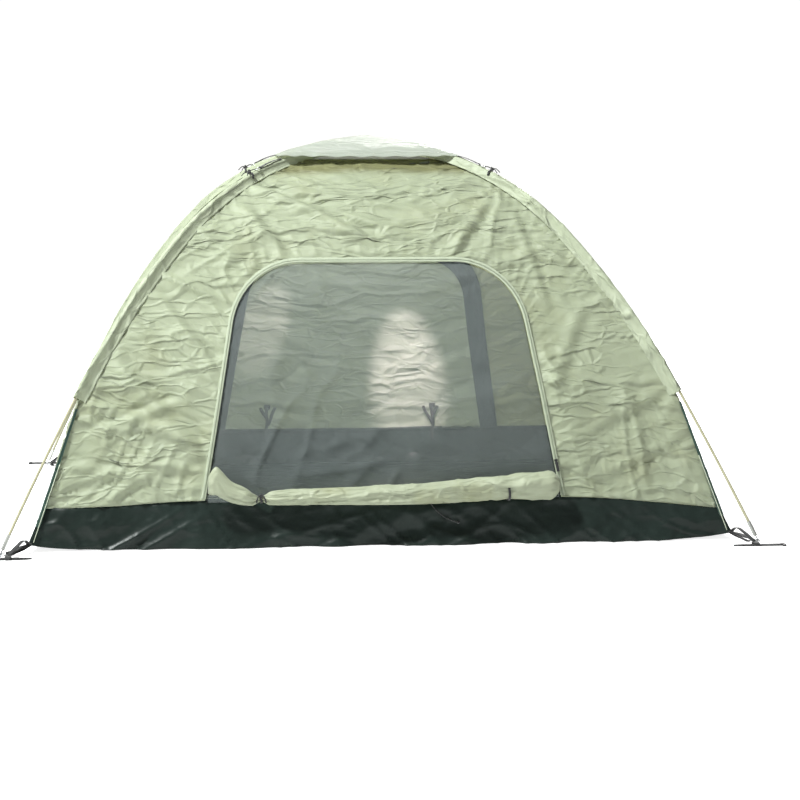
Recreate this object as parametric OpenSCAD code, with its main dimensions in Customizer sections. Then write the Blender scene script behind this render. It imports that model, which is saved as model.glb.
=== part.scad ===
// Two-person dome tent on two crossed fibreglass poles.
// Origin: centre of the floor at ground level. The front door faces -Y, +Z is up.

/* [Floor] */
// Width of the floor, left to right
floor_w = 2000; // [1800:50:2200]
// Depth of the floor, front to back
floor_d = 1500; // [1400:50:1600]
// Height of the groundsheet's upturned edge
tub_h = 125; // [110:5:140]
// Thickness of a fabric panel
cloth_t = 2; // [1.5:0.5:2.5]

/* [Poles] */
// Diameter of the fibreglass rod
pole_d = 8.5; // [7.5:0.5:9]
// Distance of each pole foot beyond its floor corner
foot_out = 75; // [60:5:90]
// Height of the rod's end above the ground
foot_z = 20; // [18:1:30]
// Bend of the middle rod section, in degrees
bend_middle = 22.4; // [21:0.2:24]
// Bend of the second rod section
bend_second = 32; // [30:0.2:33]
// Bend of the third rod section
bend_third = 13.4; // [12:0.2:15]
// Bend of the rod section that ends in the foot
bend_foot = 3.4; // [3:0.2:5]
// Height at which the pole sleeves end
sleeve_z = 400; // [360:10:440]

/* [Doors] */
// Half the width of a door at its sill
door_half_w = 506; // [480:2:520]
// Height of the top of the door
door_top = 786; // [760:2:800]
// Radius of the door's upper corners
door_r = 200; // [180:5:220]
// Diameter of the rolled front door
roll_d = 48; // [40:1:56]

/* [Rain cap] */
// Distance of the cap's corner from the crown, along the ridge
cap_reach = 340; // [330:5:360]
// Extra height of the cap's peak over its ridges
cap_peak = 16; // [10:1:24]

/* [Ground pegs] */
// Length of a peg
peg_len = 150; // [130:5:170]
// Width of a peg
peg_w = 16; // [14:1:18]

/* [Hidden] */

// --- colours ---
sage = "#b7c3ab";
pale = "#dde5dd";
tub_green = "#2b3a35";
black = "#1c1d1e";
rod_white = "#d9d8cf";
steel = "#a9acae";
mesh_grey = "#7f8a84";

// --- crossed poles: each is a chain of tangent arcs in a vertical diagonal plane ---
rad = PI / 180;
half_diag = norm([floor_w, floor_d]) / 2;
ux = floor_w / 2 / half_diag;          // plan direction of a ridge, x part
uy = floor_d / 2 / half_diag;          // and its y part
diag_angle = atan2(floor_d, floor_w);
bends = [bend_middle / 2, bend_second, bend_third, bend_foot];
// Reach and drop of the chain for rod sections of unit length
function chain(k, f) = k == 0 ? [0, 0, 0] :
  let (p = chain(k - 1, f), l = k == 1 ? 0.5 : 1, t = bends[k - 1] + (k == 1 ? f : 0), r = l / (t * rad))
  [p[0] + r * (sin(p[2] + t) - sin(p[2])), p[1] + r * (cos(p[2]) - cos(p[2] + t)), p[2] + t];
section_len = (half_diag + foot_out) / chain(4, 0)[0];
crown_z = foot_z + section_len * chain(4, 0)[1];
crossing = pole_d + 1.5;               // height of the upper pole over the lower one
pole_r = pole_d / 2;
// The upper pole (side +1) bends a little more at the crown, so that all feet stand level
crown_tilt = crossing / 2 / (half_diag + foot_out - section_len / 4) / rad;
// End of rod section k counted from the crown: [reach, height, slope]
function rod_end(k, side) =
  let (p = chain(k, side * crown_tilt))
  [p[0] * section_len, crown_z + side * crossing / 2 - p[1] * section_len, p[2]];
// Point at arc length s from the crown: [reach, height, slope]
function on_pole(s, side) =
  let (k = s <= section_len / 2 ? 0 : min(3, 1 + floor((s / section_len) - 0.5)),
       s0 = k == 0 ? 0 : section_len * (k - 0.5),
       a = rod_end(k, side), b = rod_end(k + 1, side),
       r = section_len * (k == 0 ? 0.5 : 1) / ((b[2] - a[2]) * rad), t = (s - s0) / r / rad)
  [a[0] + r * (sin(a[2] + t) - sin(a[2])), a[1] - r * (cos(a[2]) - cos(a[2] + t)), a[2] + t];
rod_total = section_len * 3.5;
foot = rod_end(4, 0);

// Stands a shape made in the XZ plane, +X outwards, on the diagonal of one corner.
// Pole a runs front left to rear right, pole b front right to rear left.
module on_diagonal(side, end) {
  rotate([0, 0, -side * diag_angle + (side * end > 0 ? 0 : 180)]) children();
}
// Arc of rod section k: [centre reach, centre height, radius, slope at its start, arc length at its start]
function rod_circle(k, side) =
  let (a = rod_end(k, side), b = rod_end(k + 1, side),
       r = section_len * (k == 0 ? 0.5 : 1) / ((b[2] - a[2]) * rad))
  [a[0] - r * sin(a[2]), a[1] - r * cos(a[2]), r, a[2], k == 0 ? 0 : section_len * (k - 0.5)];
// Sweeps a profile round a circle from slope a to slope b
module slope_arc(centre, r, a, b) {
  translate([centre[0], 0, centre[1]]) rotate([90, 0, 0]) rotate([0, 0, 90 - b])
    rotate_extrude(angle = b - a, $fn = 720) translate([r, 0]) children();
}
// Sweeps a profile along rod section k from arc length s0 to s1
module rod_arc(k, s0, s1, side) {
  c = rod_circle(k, side);
  slope_arc(c, c[2], c[3] + (s0 - c[4]) / c[2] / rad, c[3] + (s1 - c[4]) / c[2] / rad) children();
}
// The same across several sections, which stay a hair apart
arc_gap = 0.05;
module rod_sweep(s0, s1, side) {
  ends = [0, 0.5, 1.5, 2.5, 3.5] * section_len;
  for (k = [0:3]) {
    lo = max(s0, ends[k]);
    hi = min(s1, ends[k + 1]);
    if (hi > lo) rod_arc(k, lo + arc_gap, hi, side) children();
  }
}
module ring_2d(ro, ri) {
  difference() {
    circle(r = ro, $fn = 24);
    if (ri > 0) circle(r = ri, $fn = 24);
  }
}
// Sets a shape square to the pole at arc length s, +X down the pole and +Z away from the tent
module at_pole(s, side) {
  p = on_pole(s, side);
  translate([p[0], 0, p[1]]) rotate([0, p[2], 0]) children();
}
// Does something at each of the four corners
module each_corner() {
  for ($side = [-1, 1], end = [-1, 1]) on_diagonal($side, end) children();
}

// --- pole pieces ---
bore_r = 2.5;
ferrule_len = 60;
cord_in_rod = 1.5;
// Section i of 7 runs from the front foot (1) to the rear foot (7)
module pole_section(side, i) color(rod_white) {
  k = abs(i - 4);
  if (k == 0)
    on_diagonal(side, 1) rod_arc(0, -section_len / 2, section_len / 2, side) ring_2d(pole_r, bore_r);
  else
    on_diagonal(side, i < 4 ? 1 : -1)
      rod_arc(k, (k - 0.5) * section_len + 0.1, (k + 0.5) * section_len, side) ring_2d(pole_r, bore_r);
}
// Joint k from the crown lies between two arcs, so the ferrule takes their mean curvature
module pole_ferrules(side) color(steel)
  for (end = [-1, 1], k = [1:3]) on_diagonal(side, end) {
    p = rod_end(k, side);
    r = 2 / (1 / rod_circle(k - 1, side)[2] + 1 / rod_circle(k, side)[2]);
    half = ferrule_len / 2 / r / rad;
    slope_arc([p[0] - r * sin(p[2]), p[1] - r * cos(p[2])], r, p[2] - half, p[2] + half)
      ring_2d(pole_r + 1.2, pole_r + 0.2);
  }
module pole_shock_cord(side) color("dimgray") {
  on_diagonal(side, 1) rod_arc(0, -section_len / 2, section_len / 2, side) circle(r = cord_in_rod, $fn = 24);
  for (end = [-1, 1]) on_diagonal(side, end)
    rod_sweep(section_len / 2, rod_total - 90, side) circle(r = cord_in_rod, $fn = 24);
}
tip_len = 45;
module pole_end_tips() color(steel)
  each_corner() rod_arc(3, rod_total - tip_len, rod_total, $side) ring_2d(pole_r + 1.2, pole_r + 0.05);

// --- corner hardware ---
pin_r = 2;
pin_in = 50;                           // length of pin inside the rod
eye_r = 4.5;                           // eye at the pin's lower end
eye_z = 6.7;
ring_r = 12;
wire_r = 1.75;
eye_wire_r = 1.5;
// Distance down the pin's axis from the rod's end to the eye's centre
function eye_drop(p) = (p[1] - eye_z) / sin(p[2]);
function eye_reach(p) = p[0] + eye_drop(p) * cos(p[2]);
module corner_pins() color(steel)
  each_corner() {
    p = rod_end(4, $side);
    translate([p[0], 0, p[1]]) rotate([0, 90 + p[2], 0]) {
      translate([0, 0, -pin_in]) cylinder(r = pin_r, h = pin_in + eye_drop(p) - eye_r, $fn = 32);
      translate([0, 0, eye_drop(p)]) rotate([90, 0, 0])
        rotate_extrude($fn = 48) translate([eye_r, 0]) circle(r = eye_wire_r, $fn = 24);
    }
  }
module corner_rings() color(steel)
  each_corner() translate([eye_reach(rod_end(4, $side)) - ring_r, 0, eye_z])
    rotate_extrude($fn = 64) translate([ring_r, 0]) circle(r = wire_r, $fn = 24);

web_w = 18;                            // webbing at the corners
web_t = 1.6;
// A flat band along a path of [reach, height] points, its lower side on the path
module web_path(path, w) {
  n = len(path);
  nrm = [for (i = [0:n - 1])
    let (a = path[max(0, i - 1)], b = path[min(n - 1, i + 1)], d = (b - a) / norm(b - a)) [-d[1], d[0]]];
  rotate([90, 0, 0]) translate([0, 0, -w / 2]) linear_extrude(w)
    polygon(concat(path, [for (i = [n - 1:-1:0]) path[i] + nrm[i] * web_t]));
}
peg_x = floor_w / 2 + 45;              // centre of the peg's loop
peg_y = floor_d / 2 + 88;
loop_clear = 1.5;
peg_t = 5;
module corner_strap(side) {
  // short strap from the floor corner round the ring
  p = rod_end(4, side);
  r_in = eye_reach(p) - 2 * ring_r;
  strap_z = eye_z + wire_r + 1;
  difference() {
    union() {
      web_path([[seam_reach(24) + 1, 24], [half_diag + 22, 15], [r_in - 8, strap_z], [r_in + 3, strap_z]], web_w);
      web_path([[seam_reach(22) + 1, 22], [half_diag + 20, 9], [r_in - 8, 2], [r_in + 3, 2]], web_w);
      translate([r_in + 2.4, -web_w / 2, 2]) cube([web_t, web_w, strap_z + web_t - 2]);
    }
    translate([eye_reach(p) - ring_r, 0, eye_z])
      rotate_extrude($fn = 64) translate([ring_r, 0]) circle(r = wire_r + 0.4, $fn = 24);
  }
}
// Peg loop in the corner at +X, -Y
module peg_loop() {
  dx = peg_x - (floor_w / 2 - 2);
  dy = -(peg_y - peg_w / 2 - 2) + (floor_d / 2 - 2);
  run = norm([dx, dy]);
  top = peg_t + 2 * loop_clear;
  translate([floor_w / 2 - 2, -floor_d / 2 + 2, 0]) rotate([0, 0, atan2(dy, dx)])
    web_path([[-3, 25], [25, 38], [run * 0.62, 26], [run - 4, top]], 12);
  translate([peg_x, -peg_y, 0]) difference() {
    translate([-9, -peg_w / 2 - 3, 0]) cube([18, peg_w + 8, top + web_t]);
    translate([-10, -peg_w / 2 - loop_clear, -1]) cube([20, peg_w + 2 * loop_clear, top + 1]);
  }
}
module corner_straps() color(black) {
  each_corner() corner_strap($side);
  for (mx = [0, 1], my = [0, 1]) mirror([mx, 0, 0]) mirror([0, my, 0]) peg_loop();
}
// A flat peg with a hooked head, lying on the ground in the corner at +X, -Y
module ground_peg(mx, my) color(black)
  mirror([mx, 0, 0]) mirror([0, my, 0]) translate([peg_x + 85, -peg_y, 0]) {
    translate([-peg_len, 0, 0]) linear_extrude(peg_t) polygon([
      [0, 0], [28, -peg_w / 2 + 1.5], [peg_len - 10, -peg_w / 2], [peg_len - 10, -peg_w / 2 - 7],
      [peg_len, -peg_w / 2 - 7], [peg_len, peg_w / 2 + 7], [peg_len - 10, peg_w / 2 + 7],
      [peg_len - 10, peg_w / 2], [28, peg_w / 2 - 1.5]]);
  }

// --- fabric shell: four panels, each bent one way only, that meet at the ridges ---
ridge_in = 14;                         // ridge of the fabric under the pole's axis
below = 30;                            // the profile is drawn past the ground and trimmed there
seam_top = on_fabric_at(sleeve_z);
// Ridge of the fabric at arc length s: [reach, height]
function on_fabric(s) = let (p = on_pole(s, 0)) [p[0] - ridge_in * sin(p[2]), p[1] - ridge_in * cos(p[2])];
// Arc length at which the fabric's ridge has height z, by halving
function arc_at(z, lo, hi, n) = n == 0 ? (lo + hi) / 2 :
  let (m = (lo + hi) / 2) on_fabric(m)[1] > z ? arc_at(z, m, hi, n - 1) : arc_at(z, lo, m, n - 1);
s_sleeve = arc_at(sleeve_z, 0, rod_total, 24);
function on_fabric_at(z) = on_fabric(arc_at(z, 0, rod_total, 24));
seam_lean = (half_diag - seam_top[0]) / seam_top[1];
function seam_reach(z) = half_diag - seam_lean * z;
crown_steps = 22;
// Ridge line from below the ground to the crown
ridge = concat(
  [[seam_reach(-below), -below], [seam_reach(0), 0], seam_top],
  [for (i = [1:crown_steps]) on_fabric(s_sleeve * (1 - i / crown_steps))]);
// Side view of a panel whose plan factor is u, moved outwards by o
function panel_line(u, o) =
  let (n = len(ridge), q = [for (p = ridge) [u * p[0], p[1]]])
  [for (i = [0:n - 1])
    let (a = q[max(0, i - 1)], b = i == n - 1 ? [-q[n - 2][0], q[n - 2][1]] : q[i + 1],
         d = (b - a) / norm(b - a)) q[i] + o * [d[1], -d[0]]];
function flipped(l) = [for (i = [len(l) - 1:-1:0]) l[i]];
// Layer of the front panel between offsets o - t and o, w wide
module layer(u, o, t, w) {
  translate([-w / 2, 0, 0]) rotate([90, 0, 90])
    linear_extrude(w) mirror([1, 0]) polygon(concat(panel_line(u, o), flipped(panel_line(u, o - t))));
}
gap = 0.15;                            // half the gap between two panels at a ridge
big = 3000;
// Room of one panel between its two ridges, from z0 to z1, kept outside the vent.
// plan holds the ridge's factors across and out of the panel
front = [ux, uy];
side_on = [uy, ux];
module panel_room(plan, z0, z1, keep_out = 0) {
  difference() {
    translate([0, 0, z0]) linear_extrude(z1 - z0) polygon([
      [0, -gap / plan[1]], [-big * plan[0], -big * plan[1] - gap / plan[1]],
      [big * plan[0], -big * plan[1] - gap / plan[1]]]);
    if (keep_out > 0) translate([-big, -keep_out * plan[1], -1]) cube([2 * big, big, big]);
  }
}
vent_reach = 300;                      // corner of the roof mesh, along the ridge in plan
sheet_t = 2;                           // groundsheet
seam_gap = 0.2;
module groundsheet_floor() color(tub_green)
  linear_extrude(sheet_t) square([floor_w - 1, floor_d - 1], center = true);
module tub_side(plan) color(tub_green) intersection() {
  layer(plan[1], 0, cloth_t, floor_w + 200);
  panel_room(plan, sheet_t + seam_gap, tub_h);
}
// Outline of a door seen from the front, moved outwards by o, with its sill at z0
door_flat = 0.445;                     // half the door's level top, as a share of its half width
door_corner = [door_flat * door_half_w, door_top - door_r];
door_lean = atan2(door_half_w - door_corner[0] - door_r, door_corner[1] - tub_h);
arc_steps = 12;
function door_outline(o, z0) =
  let (right = [for (i = [0:arc_steps])
    let (a = door_lean + (90 - door_lean) * i / arc_steps)
    door_corner + (door_r + o) * [cos(a), sin(a)]])
  concat([[door_half_w + o - (z0 - tub_h) * tan(door_lean), z0]], right,
         [for (p = flipped(right)) [-p[0], p[1]]],
         [[-door_half_w - o + (z0 - tub_h) * tan(door_lean), z0]]);
module door_prism(o, z0) {
  rotate([90, 0, 0]) linear_extrude(big) polygon(door_outline(o, z0));
}
wall_z = tub_h + seam_gap;
module door_wall() color(sage) difference() {
  intersection() {
    layer(uy, 0, cloth_t, floor_w);
    panel_room(front, wall_z, crown_z, vent_reach);
  }
  door_prism(0, tub_h - 5);
}
module plain_wall() color(sage) intersection() {
  layer(ux, 0, cloth_t, floor_d);
  panel_room(side_on, wall_z, crown_z, vent_reach);
}
// Barrel under a panel and its opposite near the crown, its skin moved outwards by o
module barrel(u, o, z0) {
  translate([-big / 2, 0, 0]) rotate([90, 0, 90]) linear_extrude(big) intersection() {
    polygon(concat(panel_line(u, o), [for (p = flipped(panel_line(u, o))) [-p[0], p[1]]]));
    translate([-big / 2, z0]) square([big, big]);
  }
}
module crossed_barrels(o, z0) {
  intersection() {
    barrel(uy, o, z0);
    rotate([0, 0, 90]) barrel(ux, o, z0);
  }
}
module roof_vent() color(mesh_grey) {
  e = 0.5;
  z0 = crown_z - 400;
  intersection() {
    difference() {
      crossed_barrels(0, z0);
      crossed_barrels(-1.5, z0 - 1);
    }
    translate([-vent_reach * ux + e, -vent_reach * uy + e, z0])
      cube([2 * (vent_reach * ux - e), 2 * (vent_reach * uy - e), big]);
  }
}
sleeve_r = 8;
sleeve_t = 1;
sleeve_start = 48;                     // the sleeves stop short of the crossing
module sleeve(side, end) color(sage) on_diagonal(side, end)
  rod_sweep(sleeve_start, s_sleeve, side) ring_2d(sleeve_r, sleeve_r - sleeve_t);

// Dark binding along the open corner seam, from the groundsheet to the sleeve
module corner_seam_tapes() color("#1f4034")
  each_corner() rotate([90, 0, 0]) translate([0, 0, -8]) linear_extrude(16) polygon([
    [seam_reach(tub_h) + 0.8, tub_h], [seam_reach(tub_h) + 2.2, tub_h],
    [seam_reach(sleeve_z - 12) + 2.2, sleeve_z - 12], [seam_reach(sleeve_z - 12) + 0.8, sleeve_z - 12]]);

// --- doors ---
tape_o = 1.4;                          // outer face of the zip tape over the panel
module zip_tape() color(black) intersection() {
  layer(uy, tape_o, 1, floor_w);
  difference() {
    door_prism(12, wall_z);
    door_prism(-1, wall_z - 5);
  }
}
door_gap = 2;
door_z = tub_h + 3;
module door_panel() intersection() {
  layer(uy, 0, cloth_t, floor_w);
  door_prism(-door_gap, door_z);
}
module front_mesh_door() color(mesh_grey) door_panel();
module rear_door() color(sage) rotate([0, 0, 180]) door_panel();
// Dark storm flap behind the rear zip, on the inside
flap_w = 62;
module rear_zip_flap() color("#4c565c") rotate([0, 0, 180]) intersection() {
  layer(uy, -cloth_t - 0.5, 1, floor_w);
  difference() {
    door_prism(flap_w / 2, tub_h + 8);
    door_prism(-flap_w / 2, tub_h + 3);
  }
}
// Tapes that hold the rear door when it is rolled, hanging by it inside
rear_tie_x = 290;
rear_tie_w = 10;
rear_tie_z = [85, 225];                // lower and upper end
module rear_door_ties() color(black) rotate([0, 0, 180]) intersection() {
  layer(uy, -cloth_t - 2.2, 1.2, floor_w);
  union() for (x = [-rear_tie_x, rear_tie_x])
    translate([x - rear_tie_w / 2, -big, rear_tie_z[0]]) cube([rear_tie_w, big, rear_tie_z[1] - rear_tie_z[0]]);
}
// Rolled outer door, on the sill outside
roll_z = 148;
roll_y = -uy * seam_reach(roll_z) - roll_d / 2 - 5;
roll_len = 2 * door_half_w - 20;
module front_door_roll() color(sage) translate([0, roll_y, roll_z]) rotate([0, 90, 0]) {
  rr = roll_d / 2;
  translate([0, 0, -roll_len / 2 + 8]) cylinder(r = rr, h = roll_len - 16, $fn = 64);
  for (m = [0, 1]) mirror([0, 0, m]) translate([0, 0, roll_len / 2 - 8.1])
    rotate_extrude($fn = 64) polygon([[0, 0], [rr, 0], [rr - 1, 3.6], [rr - 4, 6.6], [rr - 9, 8.1], [0, 8.1]]);
}
tie_x = 350;
module roll_ties() color(black)
  for (x = [-tie_x, tie_x]) translate([x, roll_y, roll_z]) rotate([0, 90, 0])
    rotate_extrude($fn = 64) translate([roll_d / 2 + 0.4, -4]) square([1.6, 8]);
module roll_toggle() color(black)
  translate([tie_x, roll_y - 3, roll_z + roll_d / 2 + 6.6]) rotate([0, 90, 0]) translate([0, 0, -13]) difference() {
    cylinder(r = 4, h = 26, $fn = 32);
    translate([0, 0, 13]) rotate([90, 0, 0]) translate([0, 0, -6]) cylinder(r = 1.5, h = 12, $fn = 24);
  }

// --- zip sliders ---
slider_z = 225;                        // height of the parked slider
lean = atan(uy * seam_lean);           // slope of the panel near the ground
// Sets a shape on the front door's zip: +X along the sill, +Z up the panel, -Y outwards
module on_zip(z) {
  x = door_half_w + 6.5 - (z - tub_h) * tan(door_lean);
  translate([x, -uy * seam_reach(z), z]) rotate([-lean, 0, 0])
    translate([0, -tape_o / cos(lean) - 0.5, 0]) children();
}
bail_y = -5.4;                         // the pull's hinge stands off the slider's face
module zip_slider() color(steel) on_zip(slider_z) rotate([0, -door_lean, 0]) {
  difference() {
    translate([-5.5, -3, -8]) cube([11, 3, 16]);
    translate([-6, -3.5, -1.6]) cube([3, 4, 3.2]);
    translate([3, -3.5, -1.6]) cube([3, 4, 3.2]);
  }
  // bail that the pull hangs from
  for (x = [-3.6, 2.4]) translate([x, bail_y - 1, 4.6]) cube([1.2, -bail_y - 1.8, 2]);
  translate([-3, bail_y, 5.6]) rotate([0, 90, 0]) cylinder(r = 0.8, h = 6, $fn = 24);
}
module zip_pull() color(black) on_zip(slider_z) rotate([0, -door_lean, 0])
  translate([0, bail_y, 5.6]) difference() {
    union() {
      translate([-1.8, 0, 0]) rotate([0, 90, 0]) cylinder(r = 2.2, h = 3.6, $fn = 32);
      translate([-1.8, -1.9, -7]) cube([3.6, 1.2, 7]);
      translate([-4, -1.9, -34]) cube([8, 1.2, 27.5]);
    }
    translate([-3, 0, 0]) rotate([0, 90, 0]) cylinder(r = 1.1, h = 6, $fn = 24);
  }

// --- rain cap, its straps and its ties ---
cap_o = 15;                            // underside of the cap's ridges over the poles' mean line
cap_t = 1.5;
cap_steps = 10;
cap_line = [for (i = [0:cap_steps])
  let (s = cap_reach * i / cap_steps, p = on_pole(s, 0))
  [p[0] + cap_o * sin(p[2]), p[1] + cap_o * cos(p[2]) + cap_peak * (1 - i / cap_steps)]];
cap_edge = cap_line[cap_steps];
module cap_barrel(u, rise) {
  translate([-big / 2, 0, 0]) rotate([90, 0, 90]) linear_extrude(big)
    polygon(concat([for (p = cap_line) [u * p[0], p[1] + rise]],
      [[u * cap_edge[0], cap_edge[1] - 60], [-u * cap_edge[0], cap_edge[1] - 60]],
      [for (i = [cap_steps:-1:1]) [-u * cap_line[i][0], cap_line[i][1] + rise]]));
}
module cap_vault(rise) {
  intersection() {
    cap_barrel(uy, rise);
    rotate([0, 0, 90]) cap_barrel(ux, rise);
  }
}
module rain_cap() color(pale) difference() {
  intersection() {
    cap_vault(cap_t);
    translate([-big / 2, -big / 2, cap_edge[1]]) cube([big, big, big]);
  }
  cap_vault(0);
}
cap_ring_s = 430;                      // ring's place along the pole
cap_knot_s = 460;
cap_ring_r = 8;
module cap_straps() color(black)
  each_corner() rod_sweep(cap_reach + 6, cap_ring_s - cap_ring_r - 2, $side)
    translate([sleeve_r + 1, -6]) square([1.4, 12]);
module cap_rings() color(steel)
  each_corner() at_pole(cap_ring_s, $side) translate([0, 0, sleeve_r + 2.4])
    rotate_extrude($fn = 48) translate([cap_ring_r, 0]) circle(r = 1.3, $fn = 24);
module cap_ties() color(black)
  each_corner() at_pole(cap_knot_s, $side) {
    rotate([0, 90, 0]) for (x = [-1.8, 1.8]) translate([0, 0, x])
      rotate_extrude($fn = 48) translate([sleeve_r + 2, 0]) circle(r = 1.7, $fn = 24);
    translate([2, 0, sleeve_r + 6]) sphere(r = 5, $fn = 32);
  }

// --- loose tie cord on the front of the groundsheet ---
cord_r = 1.5;
// Points of the cord, from the seam down the groundsheet to its knotted end
cord_route = [[130, -723, 118], [134, -724.5, 112], [140, -726.5, 104], [148, -728.5, 96], [157, -730.5, 88],
              [166, -732, 81], [176, -733.5, 75], [187, -735, 70], [198, -736, 66], [209, -737, 63]];
cord_sides = 8;
module tub_tie_cord() color(black) {
  n = len(cord_route);
  rings = [for (i = [0:n - 1])
    let (d0 = cord_route[min(n - 1, i + 1)] - cord_route[max(0, i - 1)], d = d0 / norm(d0),
         s0 = cross(d, [0, 0, 1]), sx = s0 / norm(s0), sz = cross(sx, d))
    for (j = [0:cord_sides - 1])
      cord_route[i] + cord_r * (cos(360 * j / cord_sides) * sx + sin(360 * j / cord_sides) * sz)];
  polyhedron(points = rings, faces = concat(
    [[for (j = [0:cord_sides - 1]) j]],
    [for (i = [0:n - 2], j = [0:cord_sides - 1])
      let (a = i * cord_sides + j, b = i * cord_sides + (j + 1) % cord_sides)
      [b, a, a + cord_sides, b + cord_sides]],
    [[for (j = [cord_sides - 1:-1:0]) (n - 1) * cord_sides + j]]));
}

groundsheet_floor();
tub_side(front);  // tub_front
rotate([0, 0, 180]) tub_side(front);  // tub_rear
rotate([0, 0, -90]) tub_side(side_on);  // tub_left
rotate([0, 0, 90]) tub_side(side_on);  // tub_right
door_wall();  // front_wall
rotate([0, 0, 180]) door_wall();  // rear_wall
rotate([0, 0, -90]) plain_wall();  // left_wall
rotate([0, 0, 90]) plain_wall();  // right_wall
roof_vent();
sleeve(-1, 1);  // sleeve_front_left
sleeve(-1, -1);  // sleeve_rear_right
sleeve(1, 1);  // sleeve_front_right
sleeve(1, -1);  // sleeve_rear_left
for (i = [1:7]) {
  pole_section(-1, i);
  pole_section(1, i);
}
pole_ferrules(-1);  // pole_a_ferrules
pole_ferrules(1);  // pole_b_ferrules
pole_shock_cord(-1);  // pole_a_shock_cord
pole_shock_cord(1);  // pole_b_shock_cord
pole_end_tips();
corner_pins();
corner_rings();
corner_straps();
corner_seam_tapes();
ground_peg(0, 0);  // ground_peg_front_right
ground_peg(1, 0);  // ground_peg_front_left
ground_peg(0, 1);  // ground_peg_rear_right
ground_peg(1, 1);  // ground_peg_rear_left
zip_tape();  // front_zip_tape
front_door_roll();
roll_ties();
roll_toggle();
front_mesh_door();
zip_slider();  // front_zip_slider
zip_pull();  // front_zip_pull
rear_door();
rotate([0, 0, 180]) zip_tape();  // rear_zip_tape
rear_zip_flap();
rotate([0, 0, 180]) zip_slider();  // rear_zip_slider
rotate([0, 0, 180]) zip_pull();  // rear_zip_pull
rear_door_ties();
rain_cap();
cap_straps();
cap_rings();
cap_ties();
tub_tie_cord();
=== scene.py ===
import math

import bmesh
import bpy
import numpy as np
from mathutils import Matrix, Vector


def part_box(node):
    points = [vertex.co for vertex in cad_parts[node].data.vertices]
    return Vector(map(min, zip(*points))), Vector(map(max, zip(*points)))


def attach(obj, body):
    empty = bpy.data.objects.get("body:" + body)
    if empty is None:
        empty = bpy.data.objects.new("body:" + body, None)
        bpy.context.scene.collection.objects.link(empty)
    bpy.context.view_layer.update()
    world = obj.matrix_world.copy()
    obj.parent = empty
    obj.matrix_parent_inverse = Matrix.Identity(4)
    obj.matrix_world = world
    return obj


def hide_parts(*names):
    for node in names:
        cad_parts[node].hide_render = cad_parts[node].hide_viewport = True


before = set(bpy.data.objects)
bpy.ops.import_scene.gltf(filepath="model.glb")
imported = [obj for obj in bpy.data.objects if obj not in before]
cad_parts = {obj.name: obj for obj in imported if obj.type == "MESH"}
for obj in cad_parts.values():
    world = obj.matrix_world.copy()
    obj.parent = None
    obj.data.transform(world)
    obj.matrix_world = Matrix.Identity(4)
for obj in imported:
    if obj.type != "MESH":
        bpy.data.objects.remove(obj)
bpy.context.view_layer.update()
scene = bpy.context.scene

# ------------------------------------------------------------------ camera
# It stands about six metres in front of the door, left of its middle and at the height of
# the crown, and looks a little down and to the right, through a long lens.
camera = bpy.data.objects.new("camera", bpy.data.cameras.new("camera"))
scene.collection.objects.link(camera)
camera.data.sensor_width = 36
camera.data.lens = 91.65
camera.location = (-0.493, -6.387, 1.1445)
look_down, look_right = 7.32, 5.41
camera.rotation_euler = (math.radians(90 - look_down), 0, math.radians(-look_right))
scene.camera = camera

# ------------------------------------------------------------------ loose tie cord
# A short braided cord sewn into the seam between the front wall and the groundsheet. It
# hangs down the front, ends in a small overhand knot, and ties up the rolled door's middle.
TIE_ROUTE = [(0.130, -0.723, 0.118), (0.134, -0.7245, 0.112), (0.140, -0.7265, 0.104),
             (0.148, -0.7285, 0.096), (0.157, -0.7305, 0.088), (0.166, -0.732, 0.081),
             (0.176, -0.7335, 0.075), (0.187, -0.735, 0.070), (0.198, -0.736, 0.066),
             (0.209, -0.737, 0.063)]
CORD_R = 0.0015


def new_material(name):
    """A material with an empty Principled shader, and a maker of further nodes."""
    mat = bpy.data.materials.new(name)
    mat.use_nodes = True
    tree = mat.node_tree
    shader = tree.nodes["Principled BSDF"]

    def add(kind, links=None, **values):
        node = tree.nodes.new(kind)
        for key, value in values.items():
            if hasattr(node, key):
                setattr(node, key, value)
            else:
                node.inputs[key.replace("_", " ")].default_value = value
        for key, source in (links or {}).items():
            tree.links.new(source, node.inputs[key])
        return node

    def join(source, target):
        tree.links.new(source, target)

    return mat, shader, add, join


def two_tones(add, vector, dark, light, scale, detail=4.0):
    """A colour that wanders between two tones."""
    spots = add("ShaderNodeTexNoise", {"Vector": vector}, Scale=scale, Detail=detail)
    blend = add("ShaderNodeMix", {"Factor": spots.outputs["Fac"]}, data_type="RGBA")
    for socket, tone in zip([s for s in blend.inputs if s.type == "RGBA"], (dark, light)):
        socket.default_value = (*tone, 1)
    return [s for s in blend.outputs if s.type == "RGBA"][0]


def towards(add, join, tone, colour, share):
    """A tone that turns to a colour by the share that a socket gives."""
    blend = add("ShaderNodeMix", {"Factor": share}, data_type="RGBA")
    before, after = [s for s in blend.inputs if s.type == "RGBA"]
    join(tone, before)
    after.default_value = (*colour, 1)
    return [s for s in blend.outputs if s.type == "RGBA"][0]


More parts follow.
